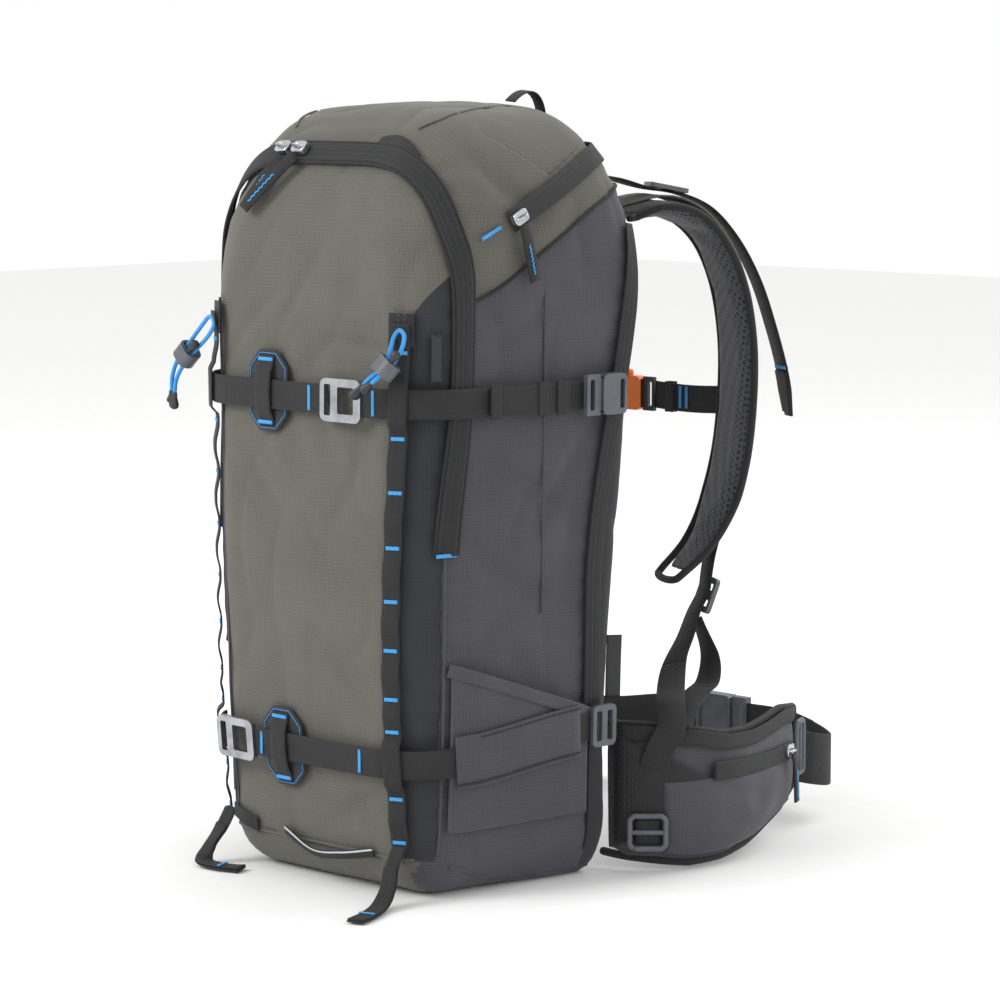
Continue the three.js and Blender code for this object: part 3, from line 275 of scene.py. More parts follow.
# %% [markdown]
# ## The bag's surface
# The bag is a rounded box that leans back and widens upwards. One smooth function says how far inside or
# outside a point is: 1 is the cloth. Everything that lies on the bag, such as tape, straps and pockets,
# finds its place by walking out to that surface and then a little further along its outward direction.

# %% A smooth field for the bag
HEIGHT, FRONT_HALF, BACK_HALF = 0.536, 0.102, 0.122

def smooth(value, low, high):
    t = np.clip((value - low) / (high - low), 0, 1)
    return t * t * (3 - 2 * t)

def blend_of(a, b, t):
    return a + (b - a) * t

def back_depth(z):
    return blend_of(0.076, 0.100, smooth(z, 0.130, 0.440))

def front_depth(x, z):
    swell = np.sin(np.pi * np.clip(z / 0.460, 0, 1)) * (1 - (x / FRONT_HALF) ** 2)
    return (0.104 - 0.008 * (1 - smooth(z, 0, 0.140)) - 0.024 * smooth(z, 0.380, 0.590)
            + 0.004 * np.maximum(swell, 0))

def half_width(y, z):
    back = np.clip((y + 0.104) / (0.104 + back_depth(z)), 0, 1)
    gain = 0.008 * np.clip(z / 0.420, 0, 1)
    return blend_of(FRONT_HALF, BACK_HALF, back) + gain + 0.003 * 4 * back * (1 - back)

def field(points):
    x, y, z = points[..., 0], points[..., 1], points[..., 2]
    high = smooth(z, 0.390, HEIGHT)
    side_round = blend_of(blend_of(0.036, 0.020, smooth(y, -0.060, 0.060)), 0.060, high)
    half = half_width(y, z)
    top = HEIGHT - 0.014 * (x / half) ** 2 - 0.006 * ((y - 0.020) / 0.100) ** 2
    def edge(distance, limit, radius):
        return np.maximum(0, distance - (limit - radius)) / radius
    front = edge(-y, front_depth(x, z), blend_of(0.036, 0.060, high))
    behind = edge(y, back_depth(z), blend_of(0.020, 0.060, high))
    qy = np.where(y < 0, front, behind)
    qz = np.where(z > HEIGHT / 2, edge(z, top, 0.080), edge(-z, 0.0, 0.045))
    return edge(np.abs(x), half, side_round) ** 2 + qy ** 2 + qz ** 2

def outward(points):
    slopes = []
    for axis in range(3):
        step = np.zeros(3)
        step[axis] = 0.0005
        slopes.append(field(points + step) - field(points - step))
    slope = np.stack(slopes, -1)
    return slope / np.linalg.norm(slope, axis=-1, keepdims=True)

def skin(origins, ways):
    origins, ways = np.broadcast_arrays(np.asarray(origins, float), np.asarray(ways, float))
    ways = ways / np.linalg.norm(ways, axis=-1, keepdims=True)
    inside, outside = np.zeros(origins.shape[:-1]), np.full(origins.shape[:-1], 0.5)
    for _ in range(26):
        middle = (inside + outside) / 2
        within = field(origins + ways * middle[..., None]) < 1
        inside, outside = np.where(within, middle, inside), np.where(within, outside, middle)
    return origins + ways * inside[..., None]

def lifted(points, lift):
    return points + outward(points) * np.asarray(lift)[..., None]

def on_front(x, z, lift=0.0):
    return lifted(skin([x, 0, z], [0, -1, 0]), lift)

def on_side(y, z, lift=0.0, side=1):
    return lifted(skin([0, y, z], [side, 0, 0]), lift)

def on_top(x, y, lift=0.0):
    return lifted(skin([x, y, HEIGHT / 2], [0, 0, 1]), lift)

def settle(points, lift=0.0):
    """Moves rough points onto the bag's surface."""
    points = np.asarray(points, float)
    for _ in range(6):
        slope = np.stack([field(points + np.eye(3)[k] * 0.0005) - field(points - np.eye(3)[k] * 0.0005)
                          for k in range(3)], -1) / 0.001
        off = field(points) - 1
        points = points - slope * (off / np.maximum((slope ** 2).sum(-1), 1e-9))[..., None]
    return lifted(points, lift)

def around(angle, z, lift=0.0):
    turn = math.radians(angle)
    return lifted(skin([0, 0, z], [math.sin(turn), -math.cos(turn), 0]), lift)

print("front wall at mid height", on_front(0, 0.25).round(4))

# %% [markdown]
# ## Makers of ribbons, tubes and cloth
# Three shapes cover most of a pack. A ribbon is webbing or tape: a flat strip with rounded edges that
# follows a line and carries metres along and across as its own coordinates. A tube is cord or piping. A
# cloth piece is a grid of points; its folds are worked into the points, because real folds cast shadows.

# %% Makers
def unit(v):
    v = np.asarray(v, float)
    return v / np.linalg.norm(v, axis=-1, keepdims=True)

def smooth_line(points, count):
    """Evenly spaced points on a smooth curve through the given ones."""
    points = np.asarray(points, float)
    ends = np.vstack([2 * points[0] - points[1], points, 2 * points[-1] - points[-2]])
    fine = []
    for i in range(len(points) - 1):
        p0, p1, p2, p3 = ends[i:i + 4]
        for t in np.linspace(0, 1, 24, endpoint=False):
            fine.append(0.5 * (2 * p1 + (p2 - p0) * t + (2 * p0 - 5 * p1 + 4 * p2 - p3) * t * t
                               + (3 * p1 - p0 - 3 * p2 + p3) * t ** 3))
    fine = np.array(fine + [points[-1]])
    length = np.concatenate([[0], np.cumsum(np.linalg.norm(np.diff(fine, axis=0), axis=1))])
    at = np.linspace(0, length[-1], count)
    return np.stack([np.interp(at, length, fine[:, k]) for k in range(3)], 1)

def object_from(name, verts, faces, finish, runs=None):
    mesh = bpy.data.meshes.new(name)
    mesh.from_pydata([tuple(map(float, v)) for v in verts], [], faces)
    if runs is not None:
        layer = mesh.uv_layers.new(name="run")
        for loop in mesh.loops:
            layer.data[loop.index].uv = runs[loop.vertex_index]
    mesh.polygons.foreach_set("use_smooth", [True] * len(mesh.polygons))
    mesh.materials.append(finish)
    made = bpy.data.objects.new(name, mesh)
    bpy.context.scene.collection.objects.link(made)
    return made

def place(piece, body, *nodes, slot="webbing_black"):
    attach(piece, body)
    if nodes:
        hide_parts(*nodes)
    return piece

def ribbon(name, line, normals, width, thick, finish, base=0.0, widths=None):
    """A strip whose lower face lies base above the line, with the width across both line and normal."""
    line, normals = np.asarray(line, float), np.asarray(normals, float)
    normals = np.broadcast_to(normals, line.shape)
    ahead = np.gradient(line, axis=0)
    ahead /= np.linalg.norm(ahead, axis=1, keepdims=True)
    across = np.cross(ahead, normals)
    across /= np.linalg.norm(across, axis=1, keepdims=True)
    up = np.cross(across, ahead)
    run = np.concatenate([[0], np.cumsum(np.linalg.norm(np.diff(line, axis=0), axis=1))])
    bevel = min(thick / 2.2, 0.0006)
    section = [(-0.5, bevel), (-0.5, thick - bevel), (-0.5 + bevel / width, thick), (-0.25, thick),
               (0, thick),
               (0.25, thick), (0.5 - bevel / width, thick), (0.5, thick - bevel), (0.5, bevel),
               (0.5 - bevel / width, 0), (-0.5 + bevel / width, 0)]
    verts, runs, n = [], [], len(section)
    for i, point in enumerate(line):
        wide = width * (1 if widths is None else widths[i])
        for side, rise in section:
            verts.append(point + across[i] * side * wide + up[i] * (base + rise))
            runs.append((run[i], side * wide))
    faces = [(i * n + j, i * n + (j + 1) % n, (i + 1) * n + (j + 1) % n, (i + 1) * n + j)
             for i in range(len(line) - 1) for j in range(n)]
    faces += [tuple(range(n - 1, -1, -1)), tuple(range((len(line) - 1) * n, len(line) * n))]
    made = object_from(name, verts, faces, finish, runs)
    fix = bmesh.new()
    fix.from_mesh(made.data)
    bmesh.ops.recalc_face_normals(fix, faces=fix.faces)
    fix.to_mesh(made.data)
    fix.free()
    return made

def tube(name, line, radius, finish, sides=10):
    line = np.asarray(line, float)
    ahead = np.gradient(line, axis=0)
    ahead /= np.linalg.norm(ahead, axis=1, keepdims=True)
    side = np.cross(ahead[0], [0.2, 0.3, 0.93])
    run = np.concatenate([[0], np.cumsum(np.linalg.norm(np.diff(line, axis=0), axis=1))])
    verts, runs = [], []
    for i, point in enumerate(line):
        side = side - ahead[i] * np.dot(side, ahead[i])
        side /= np.linalg.norm(side)
        other = np.cross(ahead[i], side)
        swell = radius * (0.75 if i in (0, len(line) - 1) else 1)
        for k in range(sides):
            turn = 2 * math.pi * k / sides
            verts.append(point + swell * (math.cos(turn) * side + math.sin(turn) * other))
            runs.append((run[i], radius * 2 * math.pi * k / sides))
    faces = [(i * sides + j, (i + 1) * sides + j, (i + 1) * sides + (j + 1) % sides,
              i * sides + (j + 1) % sides)
             for i in range(len(line) - 1) for j in range(sides)]
    faces += [tuple(range(sides)), tuple(range(len(line) * sides - 1, (len(line) - 1) * sides - 1, -1))]
    made = object_from(name, verts, faces, finish, runs)
    fix = bmesh.new()
    fix.from_mesh(made.data)
    bmesh.ops.recalc_face_normals(fix, faces=fix.faces)
    fix.to_mesh(made.data)
    fix.free()
    return made

def tack(name, point, normal, along, length, body, finish=None):
    """A bar of dense zigzag thread, as sewn where webbing takes a load."""
    along = np.asarray(along, float) / np.linalg.norm(along)
    line = [np.asarray(point) + along * t * length for t in np.linspace(-0.5, 0.5, 7)]
    made = ribbon(name, line, normal, 0.0026, 0.0008, finish or BLUE_THREAD, base=-0.0001)
    return place(made, body, slot="elastic_blue")

# %% [markdown]
# ## Cloth panels
# The panels are cut from one fine grid over the whole bag, so neighbours meet exactly, and each face joins
# the panel its middle lies in. Folds are worked in before the cut: shallow sags between seams, short
# creases, and pulls that run to the compression straps. Cloth only ever sinks in from the true surface,
# which keeps it under the tapes and straps.

# %% Grid over the bag
ARCH_HALF, ARCH_TOP, ARCH_ROUND, ZIP_END = 0.110, 0.501, 0.066, 0.237
COLUMNS, LOW_AXIS, HIGH_AXIS = 380, 0.060, 0.425
levels = [(LOW_AXIS, a) for a in np.linspace(-89.5, -3, 34)]
levels += [(z, 0.0) for z in np.linspace(LOW_AXIS, HIGH_AXIS, 150)]
levels += [(HIGH_AXIS, a) for a in np.linspace(2, 89.5, 62)]
turn = np.linspace(0, 2 * np.pi, COLUMNS, endpoint=False)
origins, ways = [], []
for z, tilt in levels:
    flat, rise = math.cos(math.radians(tilt)), math.sin(math.radians(tilt))
    origins.append(np.stack([0 * turn, 0 * turn, 0 * turn + z], 1))
    ways.append(np.stack([np.sin(turn) * flat, -np.cos(turn) * flat, 0 * turn + rise], 1))
GRID = skin(np.array(origins), np.array(ways))
NORMALS = outward(GRID)

# %% Folds
def front_seam(z):
    return -blend_of(0.079, 0.068, smooth(z, 0.227, 0.358))

def back_seam(z):
    return blend_of(0.048, 0.082, smooth(z, 0.200, 0.440))

LID_SEAM = np.array([[-0.400, 0.300], [-0.066, 0.402], [-0.039, 0.412], [0.051, 0.467], [0.077, 0.477],
                     [0.400, 0.477]])
FLAP_LINE = np.array([[-0.025, 0.514], [0.015, 0.4862], [0.058, 0.5087], [0.400, 0.5087]])
BASE_LINE = np.array([[-0.400, 0.028], [-0.080, 0.028], [-0.029, 0.008], [0.067, 0.005], [0.400, 0.005]])

CREASES = [((0.085, 0.385), (-0.010, 0.440), 0.007, 0.0030), ((0.080, 0.372), (0.010, 0.378), 0.006, 0.0026),
           ((0.060, 0.350), (-0.020, 0.400), 0.006, 0.0022),
           ((-0.085, 0.360), (-0.020, 0.420), 0.008, 0.0026),
           ((-0.040, 0.362), (0.020, 0.455), 0.007, 0.0020), ((0.070, 0.420), (0.000, 0.480), 0.009, 0.0022),
           ((0.075, 0.115), (0.020, 0.170), 0.007, 0.0020), ((-0.080, 0.080), (-0.030, 0.050), 0.006, 0.0022),
           ((0.070, 0.075), (0.010, 0.045), 0.007, 0.0022), ((-0.070, 0.310), (-0.010, 0.240), 0.008, 0.0016),
           ((0.060, 0.310), (0.015, 0.230), 0.008, 0.0016)]
SIDE_CREASES = [((-0.060, 0.315), (0.020, 0.260), 0.008, 0.0026),
                ((-0.055, 0.230), (0.010, 0.200), 0.007, 0.0018),
                ((0.050, 0.315), (-0.010, 0.240), 0.008, 0.0020),
                ((-0.050, 0.365), (0.030, 0.410), 0.008, 0.0022),
                ((0.040, 0.300), (0.020, 0.180), 0.009, 0.0016),
                ((-0.030, 0.430), (0.020, 0.480), 0.007, 0.0024),
                ((-0.050, 0.500), (0.010, 0.450), 0.008, 0.0020)]

def folds(point, normal):
    x, y, z = point
    fade = lambda d, reach: math.exp(-(d / reach) ** 2)
    slow = noise.noise(Vector((x * 9, y * 9, z * 6 + 3)))
    crease = 1 - abs(noise.noise(Vector((x * 17 + 4, y * 17, z * 11 + y * 9))) * 2.2)
    crease = max(crease, 0) ** 3
    fine = noise.noise(Vector((x * 60, y * 60, z * 45)))
    sink = 0.0012 + 0.0016 * slow + 0.0013 * crease + 0.0003 * fine
    for strap in (0.338, 0.096):
        d = z - strap
        drape = math.sin(60 * (x + y) * 2.2 + 9 * slow)
        sink += 0.0009 * fade(d, 0.05) * (1 + drape) * (1 - fade(d, 0.012))
        sink += 0.0011 * fade(d, 0.016)
    for (x0, z0), (x1, z1), wide, deep in CREASES:
        run = max(0.0, min(1.0, ((x - x0) * (x1 - x0) + (z - z0) * (z1 - z0))
                           / ((x1 - x0) ** 2 + (z1 - z0) ** 2)))
        off = math.hypot(x - x0 - run * (x1 - x0), z - z0 - run * (z1 - z0)) / wide
        if y < -0.05 and off < 3:
            sink += 1.5 * deep * (math.exp(-off * off) + 0.35 * math.exp(-(off - 1.7) ** 2)) * math.sin(
                math.pi * (0.12 + 0.88 * run))
    for (y0, z0), (y1, z1), wide, deep in SIDE_CREASES:
        run = max(0.0, min(1.0, ((y - y0) * (y1 - y0) + (z - z0) * (z1 - z0))
                           / ((y1 - y0) ** 2 + (z1 - z0) ** 2)))
        off = math.hypot(y - y0 - run * (y1 - y0), z - z0 - run * (z1 - z0)) / wide
        if y > -0.08 and off < 3:
            sink += 1.5 * deep * math.exp(-off * off) * math.sin(math.pi * (0.12 + 0.88 * run))
    seam_near = min(abs(y - float(front_seam(z))), abs(y - float(back_seam(z))))
    pucker = math.sin(z * 2 * math.pi / 0.017 + 5 * slow)
    sink += 0.0006 * fade(seam_near, 0.014) * (1 + pucker)
    quiet = min(1.0, max(0.25, z / 0.05))
    return -max(sink, 0.0) * quiet

DEPTH = np.array([[folds(GRID[i, j], NORMALS[i, j]) for j in range(COLUMNS)] for i in range(len(levels))])
CLOTH = GRID + NORMALS * DEPTH[..., None]
print("folds from", DEPTH.min().round(4), "to", DEPTH.max().round(4))

# %% Cutting out the panels
def region(p):
    x, y, z = p
    if z < np.interp(y, BASE_LINE[:, 0], BASE_LINE[:, 1]):
        return "base_panel"
    corner = max(abs(x) - 0.044, 0) ** 2 + max(z - 0.435, 0) ** 2
    if y < front_seam(z) and (z < 0.435 or abs(x) < 0.044 and z < 0.501 or corner < 0.066 ** 2):
        return "front_panel"
    if z > np.interp(y, LID_SEAM[:, 0], LID_SEAM[:, 1]):
        flap = y > -0.025 and z > np.interp(y, FLAP_LINE[:, 0], FLAP_LINE[:, 1])
        return "lid_flap" if flap else "lid_hood"
    if y > back_seam(z):
        return "back_panel"
    return "side_panel_right" if x > 0 else "side_panel_left"

GUSSET = np.array([[0.030, 0.080], [0.170, 0.082], [0.391, 0.092], [0.425, 0.112], [0.500, 0.130]])
whole = bmesh.new()
points = [whole.verts.new(p) for p in CLOTH.reshape(-1, 3)]
for i in range(len(levels) - 1):
    for j in range(COLUMNS):
        k = (j + 1) % COLUMNS
        whole.faces.new([points[n] for n in (i * COLUMNS + j, i * COLUMNS + k, (i + 1) * COLUMNS + k,
                                             (i + 1) * COLUMNS + j)])
whole.faces.new(points[:COLUMNS][::-1])
whole.faces.new(points[-COLUMNS:])

def slit(start_point, end_point, way, near):
    """Cuts the faces near one straight piece of a seam along the plane through it."""
    start_point, end_point = Vector(start_point), Vector(end_point)
    normal = (end_point - start_point).cross(Vector(way)).normalized()
    middle, reach = (start_point + end_point) / 2, (end_point - start_point).length / 2 + 0.004
    flat = Vector(way).normalized()
    def close(face):
        off = face.calc_center_median() - middle
        off -= flat * off.dot(flat)
        return off.length < reach and near(face.calc_center_median())
    faces = [face for face in whole.faces if close(face)]
    around_them = list({e for f in faces for e in f.edges}) + list({v for f in faces for v in f.verts})
    bmesh.ops.bisect_plane(whole, geom=faces + around_them, plane_co=start_point, plane_no=normal, dist=1e-6)

for line in (LID_SEAM, BASE_LINE, FLAP_LINE):
    for (y0, z0), (y1, z1) in zip(line[:-1], line[1:]):
        slit((0, y0, z0), (0, y1, z1), (1, 0, 0), lambda p: p.y > -0.09)
slit((0, -0.025, 0.500), (0, -0.025, 0.560), (1, 0, 0), lambda p: True)
for seam_of, low_z in ((front_seam, 0.01), (back_seam, 0.01)):
    stops = [low_z, 0.20, 0.23, 0.26, 0.29, 0.32, 0.35, 0.38, 0.41, 0.44, 0.475]
    for z0, z1 in zip(stops[:-1], stops[1:]):
        slit((0, float(seam_of(z0)), z0), (0, float(seam_of(z1)), z1), (1, 0, 0), lambda p: abs(p.x) > 0.07)
for side in (1, -1):
    for (z0, x0), (z1, x1) in zip(GUSSET[:-1], GUSSET[1:]):
        slit((side * x0, 0, z0), (side * x1, 0, z1), (0, 1, 0), lambda p: p.y < -0.06 and p.x * side > 0)
    corner = [(0.044, ARCH_TOP)] + [(0.044 + 0.066 * math.sin(a), 0.435 + 0.066 * math.cos(a))
                                    for a in np.linspace(0.12, 1.57, 12)]
    for (x0, z0), (x1, z1) in zip(corner[:-1], corner[1:]):
        slit((side * x0, 0, z0), (side * x1, 0, z1), (0, 1, 0), lambda p: p.y < -0.05 and p.x * side > 0)
cut = {}
for face in whole.faces:
    cut.setdefault(region(face.calc_center_median()), []).append(face)
PANEL_FINISH = {"base_panel": OLIVE_RIPSTOP, "front_panel": OLIVE_RIPSTOP, "lid_hood": OLIVE_RIPSTOP,
                "lid_flap": OLIVE_RIPSTOP, "back_panel": DARK_RIPSTOP, "side_panel_right": SLATE_RIPSTOP,
                "side_panel_left": SLATE_RIPSTOP}
for node, quads in cut.items():
    used = list(dict.fromkeys(v for face in quads for v in face.verts))
    index = {v: n for n, v in enumerate(used)}
    cloth = object_from("cloth_" + node, [v.co for v in used],
                        [tuple(index[v] for v in face.verts) for face in quads],
                        PANEL_FINISH[node])
    if node in ("front_panel", "base_panel"):
        cloth.data.materials.append(DARK_RIPSTOP if node == "front_panel" else SLATE_RIPSTOP)
        for face in cloth.data.polygons:
            x, y, z = face.center
            wide = np.interp(z, GUSSET[:, 0], GUSSET[:, 1]) if node == "front_panel" else 0.080
            face.material_index = int(abs(x) > wide and (node == "front_panel" or y > -0.085))
    thick = cloth.modifiers.new("cloth_thickness", "SOLIDIFY")
    thick.thickness, thick.offset = 0.0009, -1
    place(cloth, "flap" if node == "lid_flap" else "bag", node,
          slot="ripstop_olive" if PANEL_FINISH[node] is OLIVE_RIPSTOP else "ripstop_slate")
whole.free()
print({node: len(quads) for node, quads in cut.items()})

# %% [markdown]
# ## Zips
# Each zip is a tape of dense weave with the covered coil down its middle. The front zip is an inverted U,
# so the whole front opens; the lid has its own; a third runs down beside the back. Thread bars finish
# the ends, where a hard pull would open the seam.

# %% Zip tapes
ZIP_WIDE, ZIP_THICK, TAPE_LIFT = 0.015, 0.0013, 0.0006

def zip_leg(side):
    leg = [on_side(front_seam(z), z, TAPE_LIFT, side)
           for z in np.linspace(ZIP_END, ARCH_TOP - ARCH_ROUND, 24)]
    for angle in (80, 70, 60, 50, 40, 30, 20, 10, 0):
        a = math.radians(angle)
        leg.append(on_front(side * (ARCH_HALF - ARCH_ROUND + ARCH_ROUND * math.sin(a)),
                            ARCH_TOP - ARCH_ROUND + ARCH_ROUND * math.cos(a), TAPE_LIFT))
    return leg

middle_run = [on_front(x, ARCH_TOP, TAPE_LIFT) for x in (-0.03, -0.015, 0, 0.015, 0.03)]
def eased(line, passes, lift):
    """Rounds off the corners of a line and lays it back on the bag."""
    line = np.array(line)
    for _ in range(passes):
        line[1:-1] = (line[:-2] + 2 * line[1:-1] + line[2:]) / 4
    return settle(line, lift)

front_line = eased(smooth_line(zip_leg(-1) + middle_run + zip_leg(1)[::-1], 240), 50, TAPE_LIFT)
place(ribbon("front_zip_tape", front_line, outward(front_line), ZIP_WIDE, ZIP_THICK, ZIP_TAPE), "bag",
      "front_zip")
for offset, name in ((0.0082, "outer"), (-0.0082, "inner")):
    ahead = np.gradient(front_line, axis=0)
    side = np.cross(ahead / np.linalg.norm(ahead, axis=1, keepdims=True), outward(front_line))
    edge = tube(f"front_zip_piping_{name}", front_line + side * offset, 0.0011, BINDING, 8)
    place(edge, "bag")
end = front_line[-1]
tack("front_zip_end_tack", end + outward(end) * ZIP_THICK, outward(end), [0.2, 1, 0], 0.017, "bag")

LID_ZIP = np.array([[-0.029, 0.456], [0.053, 0.496]])
lid_side = [on_side(y, np.interp(y, LID_ZIP[:, 0], LID_ZIP[:, 1]), TAPE_LIFT)
            for y in np.linspace(-0.029, 0.053, 12)]
lid_back = [around(a, 0.500, TAPE_LIFT) for a in np.linspace(126, 234, 30)]
lid_line = eased(smooth_line(lid_side + lid_back + [p * [-1, 1, 1] for p in lid_side[::-1]], 200), 40,
                 TAPE_LIFT + 0.0002)
place(ribbon("lid_zip_tape", lid_line, outward(lid_line), ZIP_WIDE, ZIP_THICK, ZIP_TAPE), "bag", "lid_zip")
for side, name in ((1, "right"), (-1, "left")):
    line = np.array([on_side(back_seam(z), z, TAPE_LIFT, side) for z in np.linspace(0.124, 0.452, 60)])
    tape = ribbon("back_zip_tape_" + name, line, outward(line), ZIP_WIDE, ZIP_THICK, ZIP_TAPE)
    place(tape, "bag", "back_zip_" + name)

# %% [markdown]
# ## Seams and piping
# Panels are sewn inside out and turned, so a seam shows as a soft ridge with a shadow beside it. The lid's
# seam has a black piping in it, and the darts in the lid are plain ridges in the lid's own cloth.

# %% Seam lines
def seam(name, points, radius, finish, lift=0.0, slot="webbing_black", body="bag"):
    line = settle(smooth_line(points, 90), lift)
    return place(tube(name, line, radius, finish, 8), body, slot=slot)

for side, name in ((1, "right"), (-1, "left")):
    lid_run = [on_side(y, np.interp(y, LID_SEAM[:, 0], LID_SEAM[:, 1]), 0, side)
               for y in np.linspace(-0.066, 0.077, 14)]
    seam("lid_piping_" + name, lid_run + [around(side * (90 + bend), 0.477) for bend in (48, 60, 75, 90)],
         0.0013, BINDING)
    seam("lid_dart_front_" + name, [on_top(side * 0.060, -0.056), on_top(side * 0.068, -0.042),
                                    on_top(side * 0.069, -0.027)],
         0.0008, OLIVE_RIPSTOP, -0.0012, "ripstop_olive")
    seam("lid_dart_flap_" + name, [on_top(side * 0.069, -0.024), on_top(side * 0.057, 0.027),
                                   on_top(side * 0.050, 0.070)],
         0.0008, OLIVE_RIPSTOP, -0.0012, "ripstop_olive", "flap")
    low = [on_side(front_seam(z), z, 0, side) for z in np.linspace(0.032, ZIP_END, 16)]
    seam("front_side_seam_" + name, low, 0.0009, SLATE_RIPSTOP, -0.0012, "ripstop_slate")
    behind = [on_side(back_seam(z), z, 0, side) for z in (0.02, 0.06, 0.09, 0.122)]
    seam("back_side_seam_" + name, behind, 0.0012, BINDING, -0.0006)
    gusset = [on_front(side * np.interp(z, GUSSET[:, 0], GUSSET[:, 1]), z)
              for z in np.linspace(0.034, 0.40, 24)]
    seam("gusset_seam_" + name, gusset, 0.0010, SLATE_RIPSTOP, -0.0012, "ripstop_slate")
    low_side = [on_side(y, np.interp(y, BASE_LINE[:, 0], BASE_LINE[:, 1]), 0, side)
                for y in np.linspace(-0.07, 0.06, 12)]
    seam("base_seam_" + name, low_side, 0.0011, SLATE_RIPSTOP, -0.0008, "ripstop_slate")
    join = [on_side(0.003, z, 0, side) for z in np.linspace(0.19, 0.435, 14)]
    seam("side_join_" + name, join, 0.0007, SLATE_RIPSTOP, -0.0015, "ripstop_slate")
    tack("lid_tack_" + name, on_side(-0.045, 0.4495, 0.0004, side), outward(on_side(-0.045, 0.4495, 0, side)),
         [0, 1, 0.42], 0.020, "bag")
base_front = [on_front(x, 0.029) for x in np.linspace(-0.088, 0.088, 20)]
seam("base_front_seam", base_front, 0.0011, OLIVE_RIPSTOP, -0.0008, "ripstop_olive")

# %% [markdown]
# ## Moulded and metal parts
# The solids of buckles, locks, hooks and sliders have the right shape, but moulded and cast parts never have
# sharp edges. Each is copied and its edges are rounded by a bevel, so they catch a thin line of light.

# %% Rounding the hard parts
def rounded(node, body, finish, slot, radius=0.0006, name=None):
    piece = bpy.data.objects.new(name or node + "_moulding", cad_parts[node].data.copy())
    bpy.context.scene.collection.objects.link(piece)
    fix = bmesh.new()
    fix.from_mesh(piece.data)
    bmesh.ops.remove_doubles(fix, verts=fix.verts, dist=1e-5)
    bmesh.ops.dissolve_limit(fix, angle_limit=0.03, verts=fix.verts, edges=fix.edges)
    sharp = [e for e in fix.edges if len(e.link_faces) == 2 and e.calc_face_angle(0) > 0.6]
    bmesh.ops.bevel(fix, geom=sharp, offset=radius, segments=3, profile=0.6, affect="EDGES",
                    clamp_overlap=True)
    fix.to_mesh(piece.data)
    fix.free()
    piece.data.materials.clear()
    piece.data.materials.append(finish)
    for face in piece.data.polygons:
        face.use_smooth, face.material_index = True, 0
    piece.modifiers.new("even_light", "WEIGHTED_NORMAL")
    return place(piece, body, node, slot=slot)

HARD = {
    "upper_hook": ("upper_hook_body", ALUMINIUM, "aluminium_bare"),
    "lower_hook": ("lower_hook_body", ALUMINIUM, "aluminium_bare"),
    "lower_lock": ("low_lock", ACETAL_GREY, "acetal_grey"),
    "side_buckle_prongs": ("side_prongs", ACETAL_GREY, "acetal_grey"),
    "side_buckle_socket": ("bag", ACETAL_GREY, "acetal_grey"),
    "cord_lock_right": ("bag", ACETAL_GREY, "acetal_grey"),
    "cord_lock_left": ("bag", ACETAL_GREY, "acetal_grey"),
    "lifter_lock_right": ("lifter_lock_r", ACETAL_GREY, "acetal_grey"),
    "lifter_lock_left": ("lifter_lock_l", ACETAL_GREY, "acetal_grey"),
    "strap_lock_right": ("strap_lock_r", ACETAL_GREY, "acetal_grey"),
    "strap_lock_left": ("strap_lock_l", ACETAL_GREY, "acetal_grey"),
    "sternum_prongs": ("chest_right", ACETAL_DARK, "acetal_grey"),
    "sternum_socket": ("chest_left", ACETAL_ORANGE, "acetal_orange"),
    "hip_prongs": ("hip_right", ACETAL_GREY, "acetal_grey"),
    "hip_socket": ("hip_left", ACETAL_GREY, "acetal_grey"),
    "front_slider_left": ("front_slider_l", ZINC, "zinc_slider"),
    "front_slider_right": ("front_slider_r", ZINC, "zinc_slider"),
    "lid_slider": ("lid_slide_body", ZINC, "zinc_slider"), "hip_slider": ("hip_zip", ZINC, "zinc_slider"),
}
for node, (body, finish, slot) in HARD.items():
    rounded(node, body, finish, slot, 0.0009 if "slider" in node or "cord_lock" in node else 0.0006)
print(len(HARD), "hard parts rounded")

# %% [markdown]
# ### Slider bridges and pull tabs
# A slider's bridge is the small arch that its pull hangs on. The pulls are loops of black tape with a line of
# blue thread sewn down them, easy to see and to find with gloves.

# %% Bridges and pulls
def bridge(name, node, body, normal, along):
    low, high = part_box(node)
    centre = (np.array(low) + np.array(high)) / 2
    normal, along = np.array(normal, float), np.array(along, float)
    normal /= np.linalg.norm(normal)
    arch = [centre + along * 0.0048 * math.cos(a) + normal * (0.0018 + 0.0034 * math.sin(a))
            for a in np.linspace(0, math.pi, 13)]
    place(tube(name, arch, 0.0009, ZINC, 8), body, slot="zinc_slider")
    return centre

up_front = outward(on_front(-0.04, ARCH_TOP))
for side, x in (("left", -0.046), ("right", -0.029)):
    bridge(f"front_slider_bridge_{side}", "front_slider_" + side, "front_slider_" + side[0], up_front,
           [1, 0, 0])
bridge("lid_slider_bridge", "lid_slider", "lid_slide_body", [1, -0.1, 0.1], [0, 0.9, 0.44])
bridge("hip_slider_bridge", "hip_slider", "hip_zip", [0.94, 0.34, 0], [-0.34, 0.94, 0])

